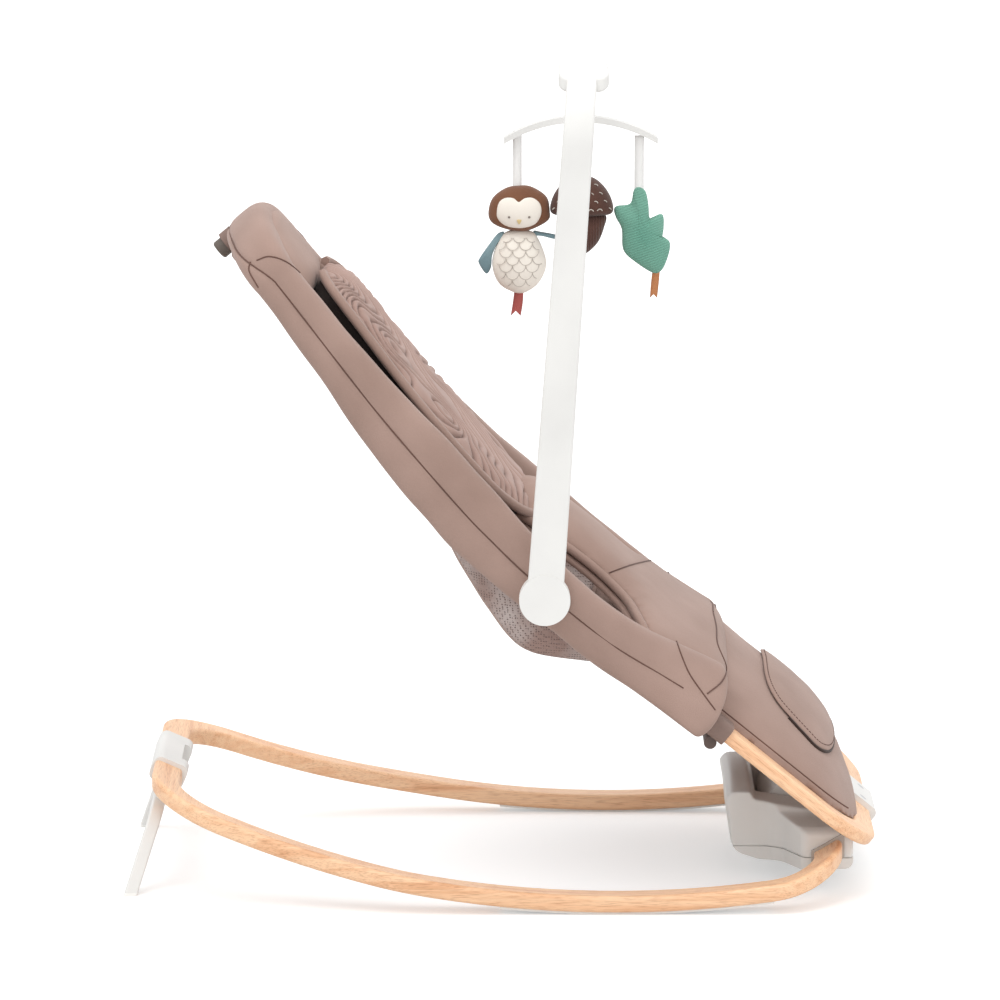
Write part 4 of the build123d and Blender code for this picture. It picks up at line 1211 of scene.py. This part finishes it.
@dataclass
class FootPad:
    """Foot cushion on the wooden loop with a pocket flap."""

    half: float = 164.0
    low: float = 3.5
    flap_run: float = 109.0
    origin: Corner = (-340.0, 58.0)
    corner: float = 60.0
    flap_half: Corner = (107.0, 49.0)
    profile: tuple = (
        (3, 8), (16, 13), (29, 21), (46, 31), (72, 42), (95, 48), (121, 50), (148, 50), (174, 49.5), (214, 51)
    )

    def place(self, x: np.ndarray, run: np.ndarray, above: np.ndarray) -> np.ndarray:
        """Drawing points from X, the run up the slope and the height above it."""
        y, z = on_slope(self.origin, LOOP_SLOPE, run, above)
        return np.stack(np.broadcast_arrays(x, y, z), axis=-1)

    def half_at(self, run: np.ndarray) -> np.ndarray:
        """Half width of the pad along the slope."""
        into = np.clip(6 + self.corner - run, 0, self.corner - 0.3)
        return self.half - self.corner + np.sqrt(self.corner**2 - into**2)

    def top_at(self, x: np.ndarray, run: np.ndarray) -> np.ndarray:
        """Height of the upper side."""
        table = np.array(self.profile, float)
        height = np.interp(run, table[:, 0], table[:, 1])
        share = np.clip(np.abs(x) / self.half_at(run), 0, 1)
        edge = np.sqrt(np.maximum(1 - share**10, 0))
        return self.low + (height - self.low) * (1 - 0.7 * share**2) * edge

    def build(self) -> bpy.types.Object:
        """Makes the cushion."""
        run = np.concatenate([np.linspace(4, 66, 36), np.linspace(69, 212, 48)])
        across, side = ring_profile(61, 2)
        rings = []
        for step in run:
            x = self.half_at(np.array(step)) * across
            upper = self.top_at(x, np.full_like(x, step))
            above = np.where(side >= 0, upper, self.low)
            rings.append(self.place(x, np.full_like(x, step), above))
        item = make_piece("foot_cushion", np.concatenate(rings), loft_faces(len(run), len(across)), JERSEY)
        inflate(item, 0.0012, 0.005)
        return item

    def flap(self) -> bpy.types.Object:
        """Pocket flap that lies on the cushion."""
        count = 72
        angle = np.linspace(0, 2 * math.pi, count, endpoint=False)
        wide, long = squarish(angle, 0.62)
        run = self.flap_run + self.flap_half[1] * long
        x = (self.flap_half[0] - 12 * long) * wide
        upper, lower = [], []
        for share in (1.0, 0.985, 0.95, 0.88, 0.75, 0.55, 0.3, 0.08):
            px, pr = x * share, self.flap_run + (run - self.flap_run) * share
            top = self.top_at(px, pr)
            upper.append(self.place(px, pr, top + 3.4 + 3.6 * math.sqrt(1 - share**8)))
            lower.append(self.place(px, pr, top + 2.2))
        rings = upper[::-1] + lower[1:]
        self.flap_line = np.vstack([upper[2], upper[2][:1]])
        # Line of the dark pipe painted as the shadow in the pocket's slit.
        lower_half = np.nonzero(np.sin(angle) < 0.12)[0]
        order = np.roll(lower_half, -int(np.nonzero(np.diff(lower_half) > 1)[0][0] + 1))
        self.slit_line = self.place(x, run, self.top_at(x, run) + 1.8)[order]
        return make_piece("pocket_flap", np.concatenate(rings), loft_faces(len(rings), count), JERSEY, 1)

    def piping(self) -> list[np.ndarray]:
        """Lower edge lines on both sides."""
        run = np.linspace(30, 200, 50)
        height = np.full_like(run, 14.0)
        return [self.place(sign * (self.half_at(run) + 0.5), run, height) for sign in (-1, 1)]

    def dress(self) -> bpy.types.Object:
        item = self.build()
        settle(item, Body.SEAT, ("foot_pad",))
        settle(self.flap(), Body.SEAT, ("foot_patch",))
        return item


# Stuffed toys


def swelling(share: float, thick: float) -> float:
    """Half thickness of a stuffed form at a share of the way from its middle to its seam."""
    return SEAM_HALF + (thick - SEAM_HALF) * math.sqrt(max(1 - share**FULLNESS, 0))


def stuffed(
    name: str, corners: Sequence[Corner], thick: float, finish: Finish, x: float = 0.0, count: int = 72
) -> bpy.types.Object:
    """Two sewn panels filled from inside.

    Args:
        name: object name.
        corners: outline points (Y, Z) in drawing millimetres.
        thick: half thickness in the middle.
        finish: its cloth.
        x: place of its middle plane.
        count: points round the outline.

    Returns:
        The stuffed form.
    """
    ring = closed_curve(corners, count)
    centre = ring.mean(axis=0)
    shares = (1.0, 0.985, 0.95, 0.9, 0.82, 0.7, 0.55, 0.38, 0.2, 0.05)
    front, back = [], []
    for share in shares:
        flat = centre + (ring - centre) * share
        swell = swelling(share, thick)
        front.append(np.column_stack([np.full(count, x - swell), flat]))
        back.append(np.column_stack([np.full(count, x + swell), flat]))
    rings = front[::-1] + back
    return make_piece(name, np.concatenate(rings), loft_faces(len(rings), count), finish, 1)


def strap(left: float, right: float, heights: Sequence[float]) -> list[Corner]:
    """Corners of a straight strap between two sides, with its heights from the top down."""
    return [(left, z) for z in heights] + [(right, z) for z in reversed(heights)]


def tape(
    name: str, corners: Sequence[Corner], finish: Finish, bow: float = 0.0, notch: float = 0.0
) -> bpy.types.Object:
    """Flat tape in the middle plane, bowed to one side along its length.

    Args:
        name: object name.
        corners: left side from top to bottom, then right side from bottom to top, as (Y, Z).
        finish: its weave.
        bow: how far its middle stands out.
        notch: depth of the cut in its lower end.

    Returns:
        The tape.
    """
    flat = np.array(corners, float)
    half = len(flat) // 2
    left, right = flat[:half], flat[half:][::-1]
    steps = np.linspace(0, half - 1, 18)
    left, right = along(left, steps), along(right, steps)
    lift = bow * np.sin(np.linspace(0, math.pi, len(steps)))
    middle = (left + right) / 2 + np.array([0, notch]) * (np.linspace(0, 1, len(steps)) ** 3)[:, None]
    ring = [(-TAPE_HALF, side) for side in (left, middle, right)]
    ring += [(TAPE_HALF, side) for side in (right, middle, left)]
    rings = []
    for index in range(len(steps)):
        rings.append([(x + lift[index], *side[index]) for x, side in ring])
    return make_piece(name, np.array(rings).reshape(-1, 3), loft_faces(len(steps), 6), finish)


@dataclass
class Owl:
    """Stuffed owl with a heart face, scalloped breast, wings and a notched tail."""

    y: float = -18.0
    neck: float = 609.0
    head_up: float = 22.8
    head_bulge: tuple = (30.5, 24, 18)
    body_bulge: tuple = (26.5, 31, 18.5)
    scallop: float = 6.3
    crown: tuple = (
        (0, 21.8), (13, 19.2), (25, 9.9), (29, -3.3), (26.5, -12.6), (16, -18.5), (0, -21.8),
        (-12, -19.9), (-27.5, -11.3), (-28.9, -2), (-25.8, 11.3), (-12, 20.5),
    )
    mask: tuple = (
        (21.2, -2), (19.2, 7.3), (13.2, 11.9), (5.3, 11.9), (0.4, 8.4), (-5.3, 11.9), (-13.2, 11.9),
        (-19.9, 6), (-20.9, -3.3), (-15.9, -12.6), (-6.6, -16.3), (2.6, -16.9), (13.2, -14.6), (19.9, -8.6),
    )
    breast: tuple = (
        (0, 3), (13.2, 0), (21.2, -12), (25.4, -27), (23.4, -40.5), (17.2, -50.5), (7, -56.3), (0, -58),
        (-7, -56.8), (-17.2, -49.8), (-23.8, -39), (-25.8, -28), (-22.5, -15.5), (-17.2, -4.3), (-13.2, 0.5),
    )
    rear_wing: tuple = (
        (13.9, 0), (19.9, -1), (27.8, -10.9), (37, -24.2), (38, -29.5), (31.1, -39.4), (26.5, -33.4),
        (25.2, -21.5), (20, -9.6),
    )
    front_wing: tuple = (
        (-14, 1.5), (-20, 0.5), (-33.5, -2), (-35.6, -4.2), (-33, -6.2), (-22, -3.5), (-14, -2.5)
    )
    face_steps: tuple = (
        (1.0, -1.5), (1.0, 0.3), (0.97, 1.2), (0.85, 1.9), (0.6, 2.4), (0.3, 2.6), (0.05, 2.6)
    )
    tail: tuple = ((-4.3, -55), (-3.5, -68), (-1.6, -79.8), (7.9, -79.8), (6, -68), (4.3, -55))

    def front_of(self, y: float, z: float, up: float, bulge: tuple) -> float:
        """X of a front panel at a place.

        Args:
            y: Y of the place.
            z: Z of the place.
            up: height of the panel's middle over the neck.
            bulge: half width, half height and half thickness of the panel.

        Returns:
            The X.
        """
        wide, high, thick = bulge
        share = min(math.hypot((y - self.y) / wide, (z - self.neck - up) / high), 0.99)
        return -swelling(share, thick)

    def face(self) -> bpy.types.Object:
        """Pale face sewn on the head, notched at its top."""
        count = 60
        ring = closed_curve(shifted(self.mask, self.y, self.neck + self.head_up), count)
        centre = ring.mean(axis=0)
        rings = []
        for share, lift in self.face_steps:
            flat = centre + (ring - centre) * share
            front = [self.front_of(y, z, self.head_up, self.head_bulge) - lift for y, z in flat]
            rings.append(np.column_stack([front, flat]))
        return make_piece("owl_face_patch", np.concatenate(rings), loft_faces(len(rings), count), CREAM, 1)

    def scallops(self) -> list[np.ndarray]:
        """Rows of arcs over the breast."""
        lines = []
        turn = np.linspace(math.pi, 2 * math.pi, 9)
        for row in range(8):
            z = self.neck - 1 - row * 7.0
            for step in range(-4, 5):
                middle = self.y + step * 2 * self.scallop + (self.scallop if row % 2 else 0)
                arc = []
                for angle in turn:
                    y, height = middle + self.scallop * math.cos(angle), z + 6.8 * math.sin(angle)
                    if math.hypot((y - self.y) / 25, (height - self.neck + 27) / 29) < 0.93:
                        x = self.front_of(y, height, -27, self.body_bulge)
                        arc.append((x - 0.25, y, height))
                if len(arc) > 3:
                    lines.append(np.array(arc))
        return lines

    def eyes(self) -> bpy.types.Object:
        """Two sewn dots."""
        lines = []
        turn = np.linspace(0, 2 * math.pi, 11)
        for side in (-1, 1):
            y, z = self.y + side * 9.5, self.neck + 17.1
            x = self.front_of(y, z, self.head_up, self.head_bulge) - 2.6
            dot = [np.full(len(turn), x), y + 0.5 * np.cos(turn), z + 0.5 * np.sin(turn)]
            lines.append(np.column_stack(dot))
        return LineTree(LineKind.PIPE, EYE_GREY).make("owl_eyes", lines, 0.75)

    def beak(self) -> bpy.types.Object:
        """Small sewn beak."""
        z = self.neck + 12.9
        x = self.front_of(self.y, z, self.head_up, self.head_bulge) - 2.4
        shape = shifted(((-2.2, 1.4), (0, 2), (2.2, 1.4), (0, -2.6)), self.y, z)
        return stuffed("owl_beak", shape, 1.4, BEAK, x, 24)

    def dress(self) -> None:
        y, z = self.y, self.neck
        crown = shifted(self.crown, y, z + self.head_up)
        head = stuffed("owl_head_pad", crown, self.head_bulge[2], OWL_BROWN)
        settle(head, Body.OWL, ("owl_head",))
        settle(self.face(), Body.OWL, ("owl_face",))
        body = stuffed("owl_body_pad", shifted(self.breast, y, z), self.body_bulge[2], CREAM)
        settle(body, Body.OWL, ("owl_body",))
        for side, corners in (("rear", self.rear_wing), ("front", self.front_wing)):
            wing = stuffed(f"owl_wing_{side}_pad", shifted(corners, y, z), 4.2, TEAL)
            settle(wing, Body.OWL, (f"owl_wing_{side}",))
        tail = tape("owl_tail_tape", shifted(self.tail, y, z), ROSE_TAPE, 0.8, 4.8)
        settle(tail, Body.OWL, ("owl_tail",))
        corners = strap(y - 2.5, y + 6, (BOW_Z - 11, z + 60, z + 42))
        settle(tape("owl_strap_tape", corners, WHITE_TAPE, 0.6), Body.OWL, ("owl_strap",))
        lines = LineTree(LineKind.PIPE, SCALLOP).make("owl_scallops", self.scallops(), 0.32)
        settle(lines, Body.OWL)
        settle(self.eyes(), Body.OWL)
        settle(self.beak(), Body.OWL)


@dataclass
class Acorn:
    """Stuffed acorn: knitted cap with curl marks over a ribbed nut."""

    y: float = -77.0
    rim: float = 627.0
    cap: tuple = (
        (-29, 1), (-28, 14), (-20, 27), (-8, 35), (8, 35), (20, 27), (28, 14), (29, 1), (16, -2), (0, -3),
        (-16, -2),
    )
    nut: tuple = (
        (-22, -1), (-21, -14), (-15, -28), (-4, -38), (4, -38), (15, -28), (21, -14), (22, -1), (0, 2)
    )
    curl: float = 8.4

    def curls(self) -> list[np.ndarray]:
        """Small curl marks on the cap."""
        lines = []
        turn = np.linspace(0.2, math.pi - 0.2, 7)
        for row in range(4):
            for step in range(-3, 4):
                y = self.y + step * self.curl + (self.curl / 2 if row % 2 else 0)
                z = self.rim + 5 + row * 7.5
                share = math.hypot((y - self.y) / 29, (z - self.rim) / 36)
                if share < 0.88:
                    x = -swelling(share, 26.0) - 0.2
                    mark = [np.full(len(turn), x), y + 2.4 * np.cos(turn), z + 2.2 * np.sin(turn)]
                    lines.append(np.column_stack(mark))
        return lines

    def dress(self) -> None:
        y, z = self.y, self.rim
        cap = stuffed("acorn_cap_pad", shifted(self.cap, y, z), 25, ACORN_BROWN)
        settle(cap, Body.ACORN, ("acorn_cap",))
        nut = stuffed("acorn_nut_pad", shifted(self.nut, y, z), 20, NUT_BROWN)
        settle(nut, Body.ACORN, ("acorn_nut",))
        corners = strap(y - 5, y + 5, (BOW_Z - 3, z + 50, z + 33))
        settle(tape("acorn_strap_tape", corners, WHITE_TAPE), Body.ACORN, ("acorn_strap",))
        marks = LineTree(LineKind.PIPE, SCALLOP).make("acorn_curls", self.curls(), 0.5)
        settle(marks, Body.ACORN)


@dataclass
class Leaf:
    """Stuffed lobed leaf with sewn veins and a tape at its tip."""

    y: float = -131.0
    z: float = 610.0
    shape: tuple = (
        (-0.3, 42), (5, 39.3), (8.3, 26.5), (20.3, 24.3), (23.6, 20.8), (21.6, 12.8), (16.3, 2.3),
        (15.6, -13.6), (12.3, -21.6), (3, -29.5), (-8.9, -37.5), (-16.8, -40.1), (-23.4, -34.8),
        (-28.7, -20.3), (-29.4, -11), (-26.1, -7.7), (-22.1, -8.3), (-23.4, 2.3), (-23.4, 12.8),
        (-20.8, 16.5), (-13.5, 13.6), (-10, 13.2), (-8.9, 26.1), (-6.2, 38),
    )
    spine: tuple = ((0, 36), (0, 18), (-1, 0), (-9, -17), (-12, -34))
    tail: tuple = ((-20, -37), (-19, -50), (-17.5, -63.7), (-10.6, -63.7), (-11.6, -50), (-13, -37))

    def veins(self) -> list[np.ndarray]:
        """Middle vein on both faces."""
        count = 30
        spine = along(np.array(self.spine, float), np.linspace(0, len(self.spine) - 1, count))
        swell = 9.2 * np.sqrt(np.clip(1 - np.abs(np.linspace(-1, 1, count)) ** FULLNESS, 0, 1)) + 1.0
        lines = []
        for side in (-1, 1):
            lines.append(np.column_stack([side * swell, self.y + spine[:, 0], self.z + spine[:, 1]]))
        return lines

    def dress(self) -> None:
        y, z = self.y, self.z
        pad = stuffed("leaf_pad", shifted(self.shape, y, z), 10.5, LEAF_GREEN, count=150)
        settle(pad, Body.LEAF, ("leaf_body",))
        tail = tape("leaf_tail_tape", shifted(self.tail, y, z), OCHRE_TAPE, 0.8, 3.6)
        settle(tail, Body.LEAF, ("leaf_tail",))
        corners = strap(y - 4.5, y + 4.5, (BOW_Z - 16, z + 60, z + 36))
        settle(tape("leaf_strap_tape", corners, WHITE_TAPE, 0.6), Body.LEAF, ("leaf_strap",))
        lines = LineTree(LineKind.PIPE, LEAF_GREEN).make("leaf_veins", self.veins(), 0.5)
        settle(lines, Body.LEAF)


# Hard parts, studio and order of work


class Reshaped(Enum):
    """Solids that the picture shows a little taller, lower or rounder than the frame has them."""

    TOY_ARM = "toy_arm"
    BOW_STEM = "bow_stem"
    HUB_HOUSING = "hub_housing"
    BACKREST_TUBE = "backrest_tube"


FIT_BODIES = {
    Reshaped.TOY_ARM: Body.BAR,
    Reshaped.BOW_STEM: Body.BAR,
    Reshaped.HUB_HOUSING: Body.BASE,
    Reshaped.BACKREST_TUBE: Body.SEAT,
}


@dataclass
class PictureFit:
    """Copies of solids that stand for them, eased to the picture's outline."""

    arm_lift: float = 18.0
    arm_span: Corner = (340.0, 390.0)
    stem_span: Corner = (722.0, 8.0)
    hub_keep: float = 62.0
    hub_share: float = 0.62
    hub_half: float = 134.0
    tube_half: float = 111.0
    tube_rise: float = 53.0
    voxel: float = 0.002

    def eased(self, kind: Reshaped, places: np.ndarray) -> np.ndarray:
        """New places of a copy's vertices.

        Args:
            kind: which solid it is.
            places: vertices in drawing millimetres.

        Returns:
            The vertices, moved.
        """
        moved = places.copy()
        if kind in (Reshaped.TOY_ARM, Reshaped.BOW_STEM):
            start, run = self.arm_span if kind is Reshaped.TOY_ARM else self.stem_span
            moved[:, 2] += self.arm_lift * np.clip((places[:, 2] - start) / run, 0, 1)
        elif kind is Reshaped.HUB_HOUSING:
            over = np.maximum(places[:, 2] - self.hub_keep, 0)
            crown = np.sqrt(np.clip(1 - (places[:, 0] / self.hub_half) ** 2, 0.01, 1))
            moved[:, 2] -= over * (1 - self.hub_share * crown)
        else:
            cosine, sine = math.cos(BACK_SLOPE), math.sin(BACK_SLOPE)
            ahead = (places[:, 1] - HEAD_Y) * cosine + (places[:, 2] - HEAD_Z) * sine
            far = np.hypot(places[:, 0] / self.tube_half, np.maximum(ahead, 0) / self.tube_rise)
            pull = np.where(ahead > 0, np.maximum(far, 1.0), 1.0)
            moved[:, 0] = places[:, 0] / pull
            back = ahead / pull - ahead
            moved[:, 1] += cosine * back
            moved[:, 2] += sine * back
        return moved

    def rounded(self, item: bpy.types.Object) -> bpy.types.Mesh:
        """Finer mesh of a moulding with softened edges, put into the object."""
        material = item.data.materials[0]
        weld(item.data, False)
        remesh(item, self.voxel)
        relax(item, 6)
        bake(item)
        wear(item.data, material)
        return item.data

    def dress(self) -> None:
        """Makes each copy and lets it stand for its solid."""
        for part in frame["record"]["subparts"]:
            if part["node"] not in {kind.value for kind in Reshaped}:
                continue
            kind = Reshaped(part["node"])
            mesh = frame["nodes"][kind.value].data.copy()
            item = linked(f"{kind.value}_fit", mesh)
            wear(mesh, SLOT_FINISHES[part["material_slot"]].material())
            if kind is Reshaped.HUB_HOUSING:
                mesh = self.rounded(item)
            places = self.eased(kind, to_drawing(vertex_rows(mesh)))
            mesh.vertices.foreach_set("co", to_row(places).ravel())
            mesh.update()
            settle(item, FIT_BODIES[kind], (kind.value,))


class HardParts:
    """Solids of the frame that stay, with their finishes."""

    def dress(self) -> None:
        """Gives every solid the finish of its slot."""
        for part in frame["record"]["subparts"]:
            finish = SLOT_FINISHES[part["material_slot"]]
            finish = NODE_FINISHES.get(part["node"], finish)
            wear(frame["nodes"][part["node"]].data, finish.material())


@dataclass
class Studio:
    """Pale floor, soft lamps and the camera of the picture."""

    elevation: float = math.radians(10.9)
    distance: float = 5.930
    aim_height: float = 0.3518
    lens: float = 224.46
    reach: float = 40.0
    glow_near: float = 0.34
    glow_far: float = 0.8
    ambient: float = 0.86
    lamp_aim: tuple = (0, 0, 0.35)
    lamps: tuple = (
        ("key_lamp", (-1.3, 1.2, 3.6), 2.2, 48.0),
        ("fill_lamp", (-2.6, -1.6, 1.3), 2.6, 16.0),
        ("top_lamp", (1.0, -0.8, 3.2), 2.4, 24.0),
    )

    def floor(self) -> None:
        """White floor that keeps the soft shadow."""
        mesh = bpy.data.meshes.new("studio_floor")
        corners = [(-1, -1), (1, -1), (1, 1), (-1, 1)]
        mesh.from_pydata([(self.reach * x, self.reach * y, 0) for x, y in corners], [], [(0, 1, 2, 3)])
        item = linked("studio_floor", mesh)
        board = NodeBoard("studio_white")
        board.set(Base_Color=(0.8, 0.8, 0.8, 1), Roughness=0.9, Specular_IOR_Level=0.0)
        away = board.add("ShaderNodeVectorMath")
        away.operation = "LENGTH"
        board.feed(away.inputs[0], board.place)
        spread = board.add("ShaderNodeMapRange", Value=away.outputs["Value"], From_Min=0.7, From_Max=5.0)
        board.feed(spread.inputs["To Min"], self.glow_near)
        board.feed(spread.inputs["To Max"], self.glow_far)
        rays = board.add("ShaderNodeLightPath")
        seen = board.math("MULTIPLY", rays.outputs["Is Camera Ray"], spread.outputs["Result"])
        glow = board.add("ShaderNodeEmission", Color=WHITE, Strength=seen)
        both = board.add("ShaderNodeAddShader")
        board.feed(both.inputs[0], board.shader.outputs[0])
        board.feed(both.inputs[1], glow.outputs[0])
        board.feed(board.tree.nodes["Material Output"].inputs["Surface"], both.outputs[0])
        wear(mesh, board.material)

    def world(self) -> None:
        """Even light from all round, white to the camera."""
        world = bpy.data.worlds.new("studio_world")
        bpy.context.scene.world = world
        world.use_nodes = True
        board = Board(world.node_tree)
        rays = board.add("ShaderNodeLightPath")
        seen = board.math("MAXIMUM", rays.outputs["Is Camera Ray"], rays.outputs["Is Glossy Ray"])
        scale = board.add("ShaderNodeMapRange", Value=seen, To_Min=self.ambient, To_Max=1.0)
        back = board.tree.nodes["Background"]
        board.feed(back.inputs["Strength"], scale.outputs[0])
        board.feed(back.inputs["Color"], WHITE)

    def lamp(self, name: str, place: Sequence[float], size: float, power: float) -> None:
        """Soft square lamp aimed at the seat."""
        light = bpy.data.lights.new(name, "AREA")
        light.size = size
        light.energy = power
        item = linked(name, light)
        item.location = place
        way = Vector(self.lamp_aim) - Vector(place)
        item.rotation_euler = way.to_track_quat("-Z", "Y").to_euler()

    def camera(self) -> None:
        """Camera at the picture's view."""
        lens = bpy.data.cameras.new("picture_camera")
        lens.lens = self.lens
        lens.sensor_width = 36.0
        lens.clip_end = 100.0
        item = linked("picture_camera", lens)
        aim = Vector((*SHIFT[:2], self.aim_height))
        away = Vector((-math.cos(self.elevation), 0, math.sin(self.elevation)))
        item.location = aim + away * self.distance
        item.rotation_euler = (-away).to_track_quat("-Z", "Y").to_euler()
        bpy.context.scene.camera = item

    def dress(self) -> None:
        """Sets up the whole studio."""
        self.floor()
        self.world()
        for lamp in self.lamps:
            self.lamp(*lamp)
        self.camera()
        bpy.context.scene.view_settings.view_transform = "Standard"


@dataclass
class SeatSeams:
    """Dark sewn lines on the cover, drawn in the side view and laid on what they cross."""

    head_arch: tuple = ((229.7, 582.3), (216.9, 585.8), (199.7, 579.4), (179.8, 561.4))
    head_under: tuple = ((235.4, 580.9), (236.8, 572.1), (228.3, 556.2))
    knee: tuple = (
        (-202.3, 246.8), (-206.4, 228.8), (-207.8, 211.7), (-216.2, 189.1), (-212.1, 175), (-198.2, 162.9)
    )
    diagonal: tuple = ((-168.5, 214.5), (-174, 199), (-181.5, 182), (-193, 165), (-206, 147))
    crotch: tuple = ((-104, 281), (-126.2, 289.1), (-147, 293.9))
    eye: tuple = (-5823.0, 0.0, 1473.0)

    def cast(self, shapes: Sequence[BVHTree], line: tuple) -> np.ndarray:
        """Points where a line of the side view falls on the cover.

        Args:
            shapes: surfaces of the cover.
            line: (Y, Z) points in the middle plane, seen from the picture's side.

        Returns:
            Points in drawing millimetres, a little outside the surface.
        """
        flat = along(np.array(line, float), np.linspace(0, len(line) - 1, 60))
        start = Vector(to_row(self.eye))
        found = []
        for y, z in flat:
            way = (Vector(to_row((0, y, z))) - start).normalized()
            hits = [shape.ray_cast(start, way) for shape in shapes]
            hits = [(distance, place, normal) for place, normal, _, distance in hits if place is not None]
            if hits:
                _, place, normal = min(hits, key=lambda hit: hit[0])
                found.append(to_drawing(np.array(place + normal * 0.0002)))
        return np.array(found)

    def both_sides(self, line: np.ndarray) -> list[np.ndarray]:
        """The near half of a line and its mirror image."""
        near = line[line[:, 0] < 0.5]
        return [near, near * MIRROR]

    def dress(self, rim: SeatRim, pad: FootPad, surfaces: Sequence[bpy.types.Object]) -> None:
        """Builds the seams as thin threads in their grooves, the pocket slit's painted shadow as a dark pipe,
        and the flap's stitches.
        """
        graph = bpy.context.evaluated_depsgraph_get()
        shapes = [BVHTree.FromObject(item, graph) for item in surfaces]
        lines = list(rim.seams)
        lines.extend(pad.piping())
        for drawn in (self.head_arch, self.head_under, self.knee, self.diagonal):
            lines.extend(self.both_sides(self.cast(shapes, drawn)))
        lines.append(self.cast(shapes, self.crotch))
        drawn = [line for line in lines if len(line) > 1]
        seams = LineTree(LineKind.PIPE, SEAM_BROWN)
        settle(seams.make("cover_seams", drawn, 0.75), Body.SEAT)
        # Painted shadow: a dark pipe in the pocket's slit, under the flap's edge.
        slit = LineTree(LineKind.PIPE, SLIT_SHADE)
        settle(slit.make("flap_slit_painted_shadow", [pad.slit_line], 1.7), Body.SEAT)
        stitches = LineTree(LineKind.STITCH, SEAM_BROWN)
        settle(stitches.make("flap_stitches", [pad.flap_line], 0.45, 3.6), Body.SEAT)


def main() -> None:
    """Builds every sub-assembly in order."""
    logging.basicConfig(level=logging.INFO, format="%(name)s %(message)s")
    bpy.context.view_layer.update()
    HardParts().dress()
    PictureFit().dress()
    rim = SeatRim()
    surfaces = [rim.dress()]
    HeadPad().dress()
    Sling().dress()
    MeshGussets().dress()
    InfantInsert().dress()
    surfaces.append(FrontPanel().dress())
    pad = FootPad()
    surfaces.append(pad.dress())
    SeatSeams().dress(rim, pad, surfaces)
    Owl().dress()
    Acorn().dress()
    Leaf().dress()
    Studio().dress()


if __name__ == "__main__":
    main()
